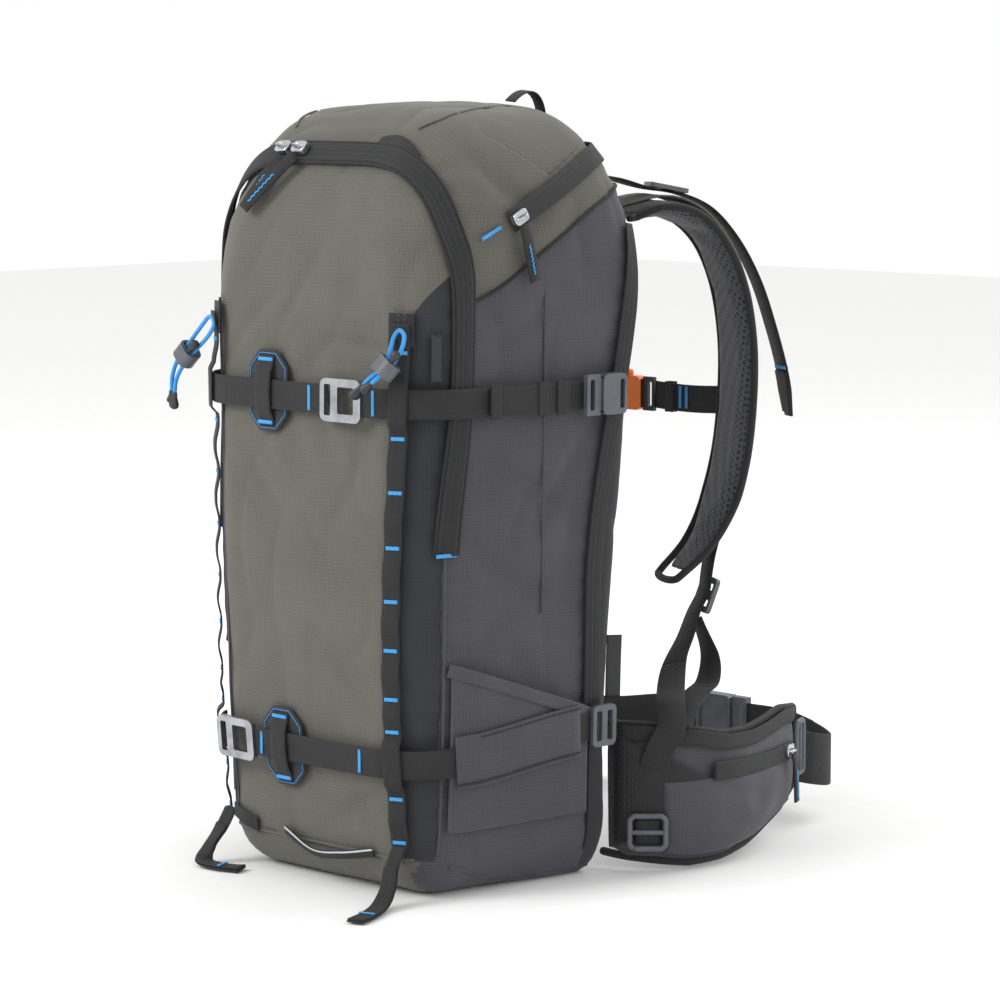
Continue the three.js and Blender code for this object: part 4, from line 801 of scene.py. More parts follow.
def pull(name, node, body, points, wide_way, width):
    line = smooth_line(points, 26)
    ahead = np.gradient(line, axis=0)
    normals = np.cross(wide_way, ahead)
    place(ribbon(name, line, normals, width, 0.0016, WEBBING_BLACK, base=-0.0008), body, node)
    flat = ahead / np.linalg.norm(ahead, axis=1, keepdims=True)
    off = np.cross(flat, normals / np.linalg.norm(normals, axis=1, keepdims=True))
    wiggle = 0.0005 * np.where(np.arange(len(line)) % 2, 1, -1)[:, None]
    for face in (0.0008, -0.0013):
        strip = ribbon(name + ("_stitch_out" if face > 0 else "_stitch_in"), (line + off * wiggle)[9:-3],
                       normals[9:-3],
                       0.0012, 0.0005, BLUE_THREAD, base=face)
        place(strip, body, slot="elastic_blue")

for side, x, lean, lift in (("left", -0.046, -0.020, 0.0046), ("right", -0.029, -0.034, 0.007)):
    hang = [on_front(x + lean * t, ARCH_TOP - 0.006 - 0.034 * t, lift) for t in (0, 0.35, 0.7, 1)]
    pull("front_pull_tab_" + side, "front_pull_" + side, "front_pull_" + side[0], hang,
         [1, 0, lean / 0.040], 0.009)
low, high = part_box("lid_pull")
top = np.array([(low[0] + 0.0015), (low[1] + high[1]) / 2 - 0.004, high[2]])
pull("lid_pull_tab", "lid_pull", "lid_tab",
     [top, top + [0.002, 0.002, -0.012], top + [0.003, 0.008, -0.038]], [0, 1, 0], 0.010)

# %% [markdown]
# ## Side pockets
# The pocket is one piece of cloth sewn to the side at the foot and both edges, with a bound hem on top that
# stands a few millimetres off. It is made as its own sheet of points over the side, with loose folds.

# %% Pockets
POCKET_FRONT, POCKET_BACK, POCKET_LOW = -0.075, 0.044, 0.048

def pocket_top(y):
    return 0.163 + (0.121 - 0.163) * (y - POCKET_FRONT) / (POCKET_BACK - POCKET_FRONT)

def pocket_lift(y, z):
    along = min(max((y - POCKET_FRONT) / (POCKET_BACK - POCKET_FRONT), 0), 1)
    rise = min(max((z - POCKET_LOW) / (pocket_top(y) - POCKET_LOW), 0), 1)
    return 0.0006 + 0.006 * min(1, 6 * along, 6 * (1 - along)) * rise ** 0.6

for side, name in ((1, "right"), (-1, "left")):
    rows, columns = 46, 60
    grid = []
    for t in np.linspace(0, 1, rows):
        for u in np.linspace(0, 1, columns):
            y = POCKET_FRONT + (POCKET_BACK - POCKET_FRONT) * u
            z = POCKET_LOW + (pocket_top(y) - POCKET_LOW) * t
            loose = noise.noise(Vector((y * 26 + 5 * side, z * 14 - y * 18, 1.7)))
            grid.append((y, z, pocket_lift(y, z) + 0.0014
                         + 0.0011 * loose * min(1, 5 * t) * min(1, 4 * u, 4 * (1 - u))))
    ys, zs, lifts = np.array(grid).T
    verts = lifted(skin(np.stack([0 * ys, ys, zs], 1), [side, 0, 0]), lifts)
    faces = [(i * columns + j, i * columns + j + 1, (i + 1) * columns + j + 1, (i + 1) * columns + j)[::side]
             for i in range(rows - 1) for j in range(columns - 1)]
    pocket = object_from("pocket_cloth_" + name, verts, faces, SLATE_RIPSTOP)
    skin_depth = pocket.modifiers.new("cloth_thickness", "SOLIDIFY")
    skin_depth.thickness, skin_depth.offset = 0.0012, -1
    place(pocket, "bag", "side_pocket_" + name, slot="ripstop_slate")
    hem_ys = np.linspace(POCKET_FRONT - 0.002, POCKET_BACK + 0.002, 40)
    hem = np.array([on_side(y, pocket_top(y) - 0.004, pocket_lift(y, pocket_top(y)) + 0.0012, side)
                    for y in hem_ys])
    place(ribbon("pocket_hem_" + name, hem, outward(hem), 0.009, 0.0012, SLATE_RIPSTOP), "bag",
          slot="ripstop_slate")

# %% [markdown]
# ## Compression straps
# Two straps pull the load flat. The upper runs from a hook on the front to a buckle at the side, the lower
# runs through a cloth sleeve over the pocket to its lock. Spare webbing is folded back and held by elastic
# keepers. A thread bar marks each place that takes the pull.

# %% Straps round the bag
WEBBING, WEBBING_THICK, STRAP_LIFT = 0.020, 0.0013, 0.0034
UPPER, LOWER = 0.338, 0.096

def band(name, start_angle, end_angle, count, height, lift, width=WEBBING, finish=WEBBING_BLACK,
         thick=WEBBING_THICK, *nodes):
    angles = np.linspace(start_angle, end_angle, count)
    bare = np.array([around(a, height(a)) for a in angles])
    line = lifted(bare, np.array([lift(p) for p in bare]))
    return place(ribbon(name, line, outward(bare), width, thick, finish), "bag", *nodes), line, outward(bare)

def bearing(x, y):
    return math.degrees(math.atan2(x, -y))

hook_low, hook_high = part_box("upper_hook")
level = lambda a: UPPER
plain = lambda p: STRAP_LIFT
band("upper_webbing_right", bearing(hook_high[0] + 0.0006 - 0.006, -0.107), bearing(0.130, 0.056), 70,
     level, plain,
     WEBBING, WEBBING_BLACK, WEBBING_THICK, "upper_strap_right")
band("upper_webbing_left", bearing(hook_low[0] + 0.004, -0.1075), -116, 90, level, plain,
     WEBBING, WEBBING_BLACK, WEBBING_THICK, "upper_strap_left")
band("upper_webbing_tail", bearing(0.124, -0.052), bearing(0.128, 0.020), 40, level,
     lambda p: STRAP_LIFT + 0.0018 + 0.0016 * math.sin(max(0, min(1, (p[1] + 0.052) / 0.072)) * math.pi))
for place_y in (-0.050, -0.006, 0.011):
    keeper = bearing(0.126, place_y)
    band(f"keeper_{int((place_y + 0.1) * 1000)}", keeper - 1.9, keeper + 1.9, 8, level,
         lambda p: STRAP_LIFT + 0.0042, 0.023, BINDING, 0.0011)
for i, x in enumerate((0.012, 0.072)):
    spot = on_front(x, UPPER, STRAP_LIFT + WEBBING_THICK)
    tack(f"upper_strap_tack_{i}", spot, outward(spot), [0, 0, 1], 0.017, "bag")

def low_height(angle):
    return LOWER + 0.012 * float(smooth(angle, 45, 110))

def over_pocket(p):
    if p[1] > POCKET_FRONT - 0.004 and abs(p[0]) > 0.090:
        return max(STRAP_LIFT, pocket_lift(p[1], p[2]) + 0.0024)
    return STRAP_LIFT

lock_low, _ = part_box("lower_lock")
hook_low, hook_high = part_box("lower_hook")
band("lower_webbing", bearing(hook_high[0] - 0.004, -0.104), bearing(0.126, lock_low[1] + 0.008), 110,
     low_height, over_pocket,
     WEBBING, WEBBING_BLACK, WEBBING_THICK, "lower_strap")
sleeve_ends = (bearing(0.105, -0.070), bearing(0.121, 0.030))
_, sleeve_line, sleeve_out = band("lower_strap_sleeve", *sleeve_ends, 60, low_height,
                                  lambda p: over_pocket(p) + WEBBING_THICK + 0.0003, 0.036, SLATE_RIPSTOP,
                                  0.0011)
band("lower_webbing_corner", bearing(-0.099, -0.072), bearing(hook_low[0] + 0.004, -0.100), 20,
     lambda a: LOWER, plain)
for i, x in enumerate((-0.041, 0.056)):
    spot = on_front(x, LOWER, STRAP_LIFT + WEBBING_THICK)
    tack(f"lower_strap_tack_{i}", spot, outward(spot), [0, 0, 1], 0.016, "bag")
for sign in (-1, 1):
    rows_line = sleeve_line + np.array([0, 0, sign * 0.0155])
    place(ribbon(f"sleeve_stitch_{'top' if sign > 0 else 'foot'}", rows_line + sleeve_out * 0.0011,
                 sleeve_out,
                 0.0016, 0.0005, HEM_TAPE), "bag")

# %% [markdown]
# ## Patches and tool loops
# Each patch is an octagon of coated cloth with a webbing loop that steps over the strap. The daisy chains
# are one long webbing each, sewn down about every 36 mm so that it forms loops, and their free ends are
# folded into a wide loop for an axe, lying on the ground.

# %% Patches
for node, cx, cz in (("upper_patch", -0.033, UPPER + 0.002), ("lower_patch", -0.022, LOWER - 0.001)):
    w, h, c = 0.0195, 0.028, 0.011
    outline = [(w, c - h), (w, h - c), (w - c, h), (c - w, h), (-w, h - c), (-w, c - h), (c - w, -h),
               (w - c, -h)]
    rings = [[on_front(cx + x * s, cz + z * s, lift) for x, z in outline]
             for s, lift in ((1.0, 0.0002), (1.0, 0.0012), (0.97, 0.0016), (0.86, 0.0014), (0.82, 0.0017),
                             (0.3, 0.0017))]
    verts = [p for ring in rings for p in ring]
    faces = [(i * 8 + j, i * 8 + (j + 1) % 8, (i + 1) * 8 + (j + 1) % 8, (i + 1) * 8 + j) for i in range(5)
             for j in range(8)]
    faces.append(tuple(range(40, 48)))
    patch = object_from(node + "_cloth", verts, faces, DARK_RIPSTOP)
    place(patch, "bag", node, slot="ripstop_slate")
    corners = np.array(outline + outline[:1]) * 0.91
    walk = np.concatenate([np.linspace(a, b, 8, endpoint=False) for a, b in zip(corners[:-1], corners[1:])]
                          + [corners[:1]])
    stitches = tube(node + "_stitching", [on_front(cx + x, cz + z, 0.0017) for x, z in walk], 0.00028,
                    BLUE_THREAD, 6)
    place(stitches, "bag", slot="elastic_blue")
    top_lift = STRAP_LIFT + WEBBING_THICK + 0.0006
    steps = [(-0.0235, 0.0018), (-0.019, 0.0024), (-0.0145, top_lift * 0.8), (-0.011, top_lift),
             (0, top_lift + 0.0008),
             (0.011, top_lift), (0.0145, top_lift * 0.8), (0.019, 0.0024), (0.0235, 0.0018)]
    loop = smooth_line([on_front(cx, cz + z, lift) for z, lift in steps], 60)
    place(ribbon(node + "_loop", loop, outward(loop), 0.0155, WEBBING_THICK, WEBBING_BLACK), "bag")
    for sign in (-1, 1):
        spot = on_front(cx, cz + sign * 0.0215, 0.0034)
        tack(f"{node}_tack_{'top' if sign > 0 else 'foot'}", spot, outward(spot), [1, 0, 0], 0.014, "bag")

# %% Daisy chains
DAISY_TOP, DAISY_FOOT = 0.391, 0.040
TACKS = (0.372, 0.315, 0.279, 0.242, 0.206, 0.173, 0.140, 0.118, 0.072, 0.042)
FLOOR_LOOPS = {1: [(83, -104, 26), (86, -111, 12), (91, -124, 3), (99, -142, 1.4), (105, -160, 1.4)],
               -1: [(96, -97, 26), (101, -104, 12), (98, -113, 3), (82, -114, 1.4), (64, -108, 1.4)]}

def daisy_x(side, z):
    top, foot = (0.090, 0.082) if side > 0 else (0.093, 0.095)
    return side * blend_of(foot, top, float(smooth(z, 0.170, DAISY_TOP)))

def daisy_lift(z):
    near = min(abs(z - UPPER), abs(z - LOWER))
    step = float(smooth(0.0185 - near, 0, 0.006))
    loop_height = min(abs(z - t) for t in TACKS)
    return 0.0009 + step * 0.0048 + (1 - step) * 0.0022 * float(smooth(loop_height, 0.002, 0.016))

for side, name in ((1, "right"), (-1, "left")):
    heights = np.linspace(DAISY_TOP, DAISY_FOOT, 150)
    down = np.array([on_front(daisy_x(side, z), z, daisy_lift(z)) for z in heights])
    out = outward(down)
    floor_run = smooth_line(np.array([down[-1]] + [
        (side * x * MM, y * MM, z * MM) for x, y, z in FLOOR_LOOPS[side]]), 44)
    tilt = np.clip((floor_run[:, 1].max() - floor_run[:, 1]) / 0.022, 0, 1)
    floor_out = np.array([[0, -math.cos(t * math.pi / 2), math.sin(t * math.pi / 2)] for t in tilt])
    line = np.vstack([down, floor_run[1:]])
    normals = np.vstack([out, floor_out[1:]])
    place(ribbon("daisy_webbing_" + name, line, normals, 0.013, WEBBING_THICK, WEBBING_BLACK), "bag",
          "daisy_chain_" + name)
    back_layer = floor_run[8:] + floor_out[8:] * 0.0016
    place(ribbon("floor_loop_fold_" + name, back_layer, floor_out[8:], 0.012, 0.0011, WEBBING_BLACK), "bag")
    for i, z in enumerate(TACKS):
        spot = on_front(daisy_x(side, z), z, daisy_lift(z) + WEBBING_THICK)
        tack(f"daisy_tack_{name}_{i}", spot, outward(spot), np.cross(outward(spot), [0, 0, 1]), 0.0095, "bag")
    cap = np.array([on_front(daisy_x(side, z), z, 0.0005) for z in np.linspace(0.398, 0.376, 10)])
    place(ribbon("daisy_top_patch_" + name, cap, outward(cap), 0.018, 0.0009, HEM_TAPE), "bag")
    tack(f"floor_loop_tack_{name}", floor_run[-9] + [0, 0, 0.003], [0, 0, 1],
         np.cross(floor_run[-6] - floor_run[-9], [0, 0, 1]), 0.011, "bag")

# %% [markdown]
# ## Elastic cords
# Each cord is 3 mm elastic with a braided sheath, threaded behind the top of its daisy chain and back
# through a sprung lock, so it holds an axe shaft or poles. Both ends stay on the pack. They are drawn as
# tubes along the route that the solids have.

# %% Cords and their toggles
CORD = 0.003
CORD_RUNS = {
    "right": (1, [(-11, -16, -35), (-5, -14.5, -30), (3, -11.5, -23), (7, -6.5, -14), (6, -1.5, -4),
                  (0, 0, 0),
                  (-4, -1.5, -5), (-3, -6.5, -15), (-5, -12, -25), (-12, -15.5, -31), (-18, -17, -37)]),
    "left": (-1, [(-41, -2, -55), (-39, -3, -43), (-31, -4, -30), (-19, -3.5, -18), (-9, -2, -7),
                  (-2, -0.5, 0),
                  (3, -0.5, -4), (-2, -1.5, -13), (-13, -4, -24), (-25, -5, -35), (-34, -4, -46),
                  (-37, -3, -56)]),
}
def toggle(name, point, way, size):
    """A moulded cord end: a rounded grip that swells towards its tip."""
    way = np.asarray(way, float) / np.linalg.norm(way)
    side = np.cross(way, [0.3, 0.2, 0.9])
    side /= np.linalg.norm(side)
    other = np.cross(way, side)
    profile = [(0, 0.30), (0.08, 0.5), (0.2, 0.52), (0.34, 0.56), (0.5, 0.74), (0.7, 0.95), (0.85, 0.9),
               (0.95, 0.6), (1, 0.15)]
    verts, faces = [], []
    for t, r in profile:
        for k in range(16):
            a = 2 * math.pi * k / 16
            verts.append(point + way * (t * size[0]) + side * math.cos(a) * r * size[1] / 2
                         + other * math.sin(a) * r * size[2] / 2)
    for i in range(len(profile) - 1):
        faces += [(i * 16 + j, i * 16 + (j + 1) % 16, (i + 1) * 16 + (j + 1) % 16, (i + 1) * 16 + j)
                  for j in range(16)]
    faces += [tuple(range(15, -1, -1)), tuple(range((len(profile) - 1) * 16, len(profile) * 16))]
    return place(object_from(name, verts, faces, ACETAL_DARK), "bag", slot="acetal_grey")

for name, (side, offsets) in CORD_RUNS.items():
    hold = on_front(side * (0.090 if side > 0 else 0.093), DAISY_TOP - 0.004,
                    0.0009 + WEBBING_THICK + CORD / 2 + 0.0009)
    line = smooth_line([hold + np.array(o) * MM for o in offsets], 80)
    cord_piece = tube("elastic_cord_" + name, line, CORD / 2, ELASTIC_BLUE, 12)
    place(cord_piece, "bag", "bungee_" + name, slot="elastic_blue")
    grip = toggle("cord_grip_" + name, line[-1] - (line[-1] - line[-3]) * 0.5, line[-1] - line[-3],
                  (0.013, 0.010, 0.007))
    grip_start = toggle("cord_end_" + name, line[0] - (line[0] - line[2]) * 0.5, line[0] - line[2],
                        (0.010, 0.008, 0.008))
    low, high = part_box("cord_lock_" + name)
    middle = (np.array(low) + np.array(high)) / 2
    button_way = {"right": (0.5, 0.35, 0.8), "left": (0.7, 0.05, 0.7)}[name]
    toggle("lock_button_" + name, middle + np.array(button_way) * 0.002 + np.array([0.004, -0.004, 0]),
           button_way, (0.012, 0.008, 0.007))

# %% [markdown]
# ## Loops, tabs and labels on the bag
# A grab loop stands behind the lid. Small loops, a lid tab, a bottom gear loop with white reflective piping
# and plain black labels finish the bag; the labels carry no words.

# %% Grab loop and small trim
foot_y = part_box("haul_loop")[0][1] + 0.007
haul = np.array([[-0.024 * math.cos(a), foot_y + 0.006 * math.sin(a), 0.486 + 0.030 * math.sin(a)]
                 for a in np.linspace(0, math.pi, 40)])
haul_out = np.array([[p[0], 0, 0.024 * math.sin(a) + 0.0001]
                     for p, a in zip(haul, np.linspace(0, math.pi, 40))])
place(ribbon("haul_webbing", haul, haul_out, 0.014, 0.002, WEBBING_BLACK), "grab_loop", "haul_loop")
grip_wrap = haul[9:31] + haul_out[9:31] / np.linalg.norm(haul_out[9:31], axis=1, keepdims=True) * -0.0006
place(ribbon("haul_grip", grip_wrap, haul_out[9:31], 0.0155, 0.0032, BINDING), "grab_loop")

tab = settle(smooth_line([(0.038, -0.066, 0.507), (0.050, -0.066, 0.505), (0.062, -0.067, 0.500),
                          (0.074, -0.066, 0.494)], 30), 0.0004)
place(ribbon("lid_tab", tab, outward(tab), 0.014, 0.0012, BINDING,
             widths=np.sin(np.linspace(0.25, math.pi - 0.25, 30)) + 0.1), "bag")
rise = lambda t: 0.0015 + 0.011 * math.sin(math.pi * t)
spots = [on_top(0.050, y, rise(t)) for t, y in zip(np.linspace(0, 1, 24), np.linspace(0.044, 0.074, 24))]
crown = np.array(spots)
place(ribbon("lid_gear_loop", crown, outward(crown), 0.010, 0.0012, WEBBING_BLACK), "flap")
FOOT_LOOP = [(-0.028, 0.035), (0.0, 0.026), (0.029, 0.028), (0.058, 0.032)]
FOOT_LIFT, FOOT_BOW = 0.0012, 0.004
line = smooth_line([on_front(x, z, FOOT_LIFT + (FOOT_BOW if 0 < i < 3 else 0))
                    for i, (x, z) in enumerate(FOOT_LOOP)], 60)
place(ribbon("foot_gear_loop", line, outward(line), 0.007, 0.0013, WEBBING_BLACK), "bag")
piping = line + outward(line) * 0.0018 + [0, 0, 0.0022]
place(tube("foot_gear_piping", piping, 0.0008, REFLECTIVE, 8), "bag", slot="elastic_blue")
strip = smooth_line([on_front(x, z, 0.0008)
                      for x, z in ((-0.083, 0.041), (-0.070, 0.037), (-0.057, 0.034))], 20)
place(ribbon("foot_webbing_stub", strip, outward(strip), 0.012, 0.0012, WEBBING_BLACK), "bag")
label = np.array([on_side(0.068, z, 0.0012) + [0, 0.004, 0] for z in np.linspace(0.124, 0.168, 16)])
place(ribbon("side_label", label, unit([0.85, -0.5, 0]), 0.011, 0.0009, RUBBER_LABEL), "bag")
small = np.array([on_side(-0.086, z, 0.0022) for z in np.linspace(0.352, 0.384, 10)])
place(ribbon("daisy_label", small, outward(small), 0.007, 0.0008, RUBBER_LABEL), "bag")

# %% [markdown]
# ## Stuffed parts
# The shoulder straps, hip fins and back pad are foam in a sewn cover. A cover takes its shape by being blown
# up gently while its seams hold it in, so each one is run as cloth: an even mesh, a small pressure and no
# weight. The movement is capped, because a pad fills out by millimetres.

# %% Filling a cover
def curve_through(points, count):
    """Evenly spaced points on a curve that never overshoots its corners."""
    points = [np.asarray(p, float) for p in points]
    ends = [2 * points[0] - points[1]] + points + [2 * points[-1] - points[-2]]
    fine = []
    for i in range(len(points) - 1):
        p0, p1, p2, p3 = ends[i:i + 4]
        gaps = [max(np.linalg.norm(b - a), 1e-6) ** 0.5 for a, b in ((p0, p1), (p1, p2), (p2, p3))]
        t0, t1, t2, t3 = np.cumsum([0] + gaps)
        for t in np.linspace(t1, t2, 20, endpoint=False):
            a1 = (t1 - t) / (t1 - t0) * p0 + (t - t0) / (t1 - t0) * p1
            a2 = (t2 - t) / (t2 - t1) * p1 + (t - t1) / (t2 - t1) * p2
            a3 = (t3 - t) / (t3 - t2) * p2 + (t - t2) / (t3 - t2) * p3
            b1 = (t2 - t) / (t2 - t0) * a1 + (t - t0) / (t2 - t0) * a2
            b2 = (t3 - t) / (t3 - t1) * a2 + (t - t1) / (t3 - t1) * a3
            fine.append((t2 - t) / (t2 - t1) * b1 + (t - t1) / (t2 - t1) * b2)
    fine = np.array(fine + [points[-1]])
    length = np.concatenate([[0], np.cumsum(np.linalg.norm(np.diff(fine, axis=0), axis=1))])
    at = np.linspace(0, length[-1], count)
    return np.stack([np.interp(at, length, fine[:, k]) for k in range(3)], 1)

def cover(name, centres, acrosses, normals, widths, thicks, sides=20, powers=(0.5, 0.75)):
    """A closed cover: rounded sections across and along a route."""
    verts, faces = [], []
    for c, a, n, w, d in zip(centres, acrosses, normals, widths, thicks):
        for k in range(sides):
            angle = 2 * math.pi * k / sides
            soft = [math.copysign(abs(v) ** p, v) for v, p in zip((math.cos(angle), math.sin(angle)), powers)]
            verts.append(c + a * (w / 2 * soft[0]) + n * (d / 2 * soft[1]))
    rows = len(centres)
    for i in range(rows - 1):
        faces += [(i * sides + j, i * sides + (j + 1) % sides, (i + 1) * sides + (j + 1) % sides,
                   (i + 1) * sides + j)
                  for j in range(sides)]
    faces += [tuple(range(sides - 1, -1, -1)), tuple(range((rows - 1) * sides, rows * sides))]
    made = object_from(name, verts, faces, SLATE_RIPSTOP)
    fix = bmesh.new()
    fix.from_mesh(made.data)
    bmesh.ops.recalc_face_normals(fix, faces=fix.faces)
    fix.to_mesh(made.data)
    fix.free()
    return made

def apply_all(piece):
    graph = bpy.context.evaluated_depsgraph_get()
    graph.update()
    shaped = bpy.data.meshes.new_from_object(piece.evaluated_get(graph))
    piece.modifiers.clear()
    piece.data = shaped

def fill(piece, cap, grid=0.0045, pressure=4.0, held=None):
    even = piece.modifiers.new("even", "REMESH")
    even.mode, even.voxel_size = "VOXEL", grid
    apply_all(piece)
    before = np.array([v.co[:] for v in piece.data.vertices])
    cloth = piece.modifiers.new("fill", "CLOTH")
    cloth.settings.use_pressure = True
    cloth.settings.uniform_pressure_force = pressure
    cloth.settings.effector_weights.gravity = 0
    cloth.settings.quality = 4
    cloth.settings.mass = 0.2
    cloth.settings.tension_stiffness = cloth.settings.compression_stiffness = 12
    if held is not None:
        group = piece.vertex_groups.new(name="sewn")
        group.add([i for i, p in enumerate(before) if held(p)], 1.0, "REPLACE")
        cloth.settings.vertex_group_mass = "sewn"
    cloth.point_cache.frame_start, cloth.point_cache.frame_end = 1, 20
    for step in range(1, 21):
        bpy.context.scene.frame_set(step)
    apply_all(piece)
    bpy.context.scene.frame_set(1)
    after = np.array([v.co[:] for v in piece.data.vertices])
    moved = after - before
    far = np.linalg.norm(moved, axis=1, keepdims=True)
    after = before + moved * np.minimum(1, cap / np.maximum(far, 1e-9))
    piece.data.vertices.foreach_set("co", after.ravel())
    print(piece.name, "filled out by up to", round(float(min(far.max(), cap)) * 1000, 1), "mm")
    fix = bmesh.new()
    fix.from_mesh(piece.data)
    for _ in range(3):
        bmesh.ops.smooth_vert(fix, verts=fix.verts, factor=0.5, use_axis_x=True, use_axis_y=True,
                              use_axis_z=True)
    fix.to_mesh(piece.data)
    fix.free()
    finer = piece.modifiers.new("finer", "SUBSURF")
    finer.levels = finer.render_levels = 1
    apply_all(piece)
    piece.data.polygons.foreach_set("use_smooth", [True] * len(piece.data.polygons))

def two_faced(piece, outer, inner, is_outer):
    piece.data.materials.clear()
    piece.data.materials.append(outer)
    piece.data.materials.append(inner)
    for face in piece.data.polygons:
        face.material_index = 0 if is_outer(np.array(face.center), np.array(face.normal)) else 1

# %% [markdown]
# ### Shoulder straps
# Each strap leaves the back flat, stands up and falls in a long curve. Its outside is slate cloth with a
# paler strip on the shoulder, its inside is spacer mesh, and a fat black binding closes the edge. The
# lifter over it and the webbing under it are loose, so their ends hang freely.

# %% Shoulder straps
AXIS_X, AXIS_Y, SWING = 0.072, 0.100, math.radians(26)
PAD_CURVE = [(4.6, 453), (27, 457), (54, 461), (77, 452), (94, 434), (107, 405), (114, 365), (114, 322),
             (109, 280),
             (99, 246), (84, 220), (62, 199)]
HANG_THICK = 0.0013
LIFTER_CURVE = [(22, 481), (46, 474), (68, 470), (90, 460), (110, 439), (127, 410), (140, 375), (150, 340),
                (155, 310)]
WEB_UPPER = [(105.7, 242), (98.9, 229), (94, 213), (91.5, 199), (89.5, 186), (82, 172)]
WEB_LOWER = [(112, 160, 156), (116, 144, 140), (130, 124, 126), (144, 108, 117), (152, 99, 102),
             (147.5, 93, 88),
             (142.7, 90.6, 74)]
SPARE_WEB = [(114, 170, 168), (124, 172, 142), (133, 160, 126), (139, 142, 121), (146, 122, 114),
             (151.5, 108, 103)]

def strap_put(side, reach, z, offset=0.0):
    bend = SWING * float(smooth(reach, 12, 60))
    out = np.array([side * math.sin(bend), math.cos(bend), 0])
    sideways = np.array([side * math.cos(SWING), -math.sin(SWING), 0])
    spot = np.array([side * AXIS_X, AXIS_Y, 0]) + out * reach * MM + sideways * offset * MM
    spot[2] = z * MM
    return spot

def strap_frame(side, points, count, end_across=None):
    line = curve_through(points, count)
    sideways = np.array([side * math.cos(SWING), -math.sin(SWING), 0])
    share = np.linspace(0, 1, count)
    if end_across is None:
        across = np.array([blend_of(np.array([side, 0, 0]), sideways, float(smooth(t, 0, 0.3)))
                           for t in share])
    else:
        across = np.array([blend_of(sideways, np.array(end_across), float(smooth(t, 0.3, 0.95)))
                           for t in share])
    across = unit(across)
    ahead = unit(np.gradient(line, axis=0))
    normal = unit(np.cross(across, ahead))
    return line, unit(np.cross(ahead, normal)), normal, share

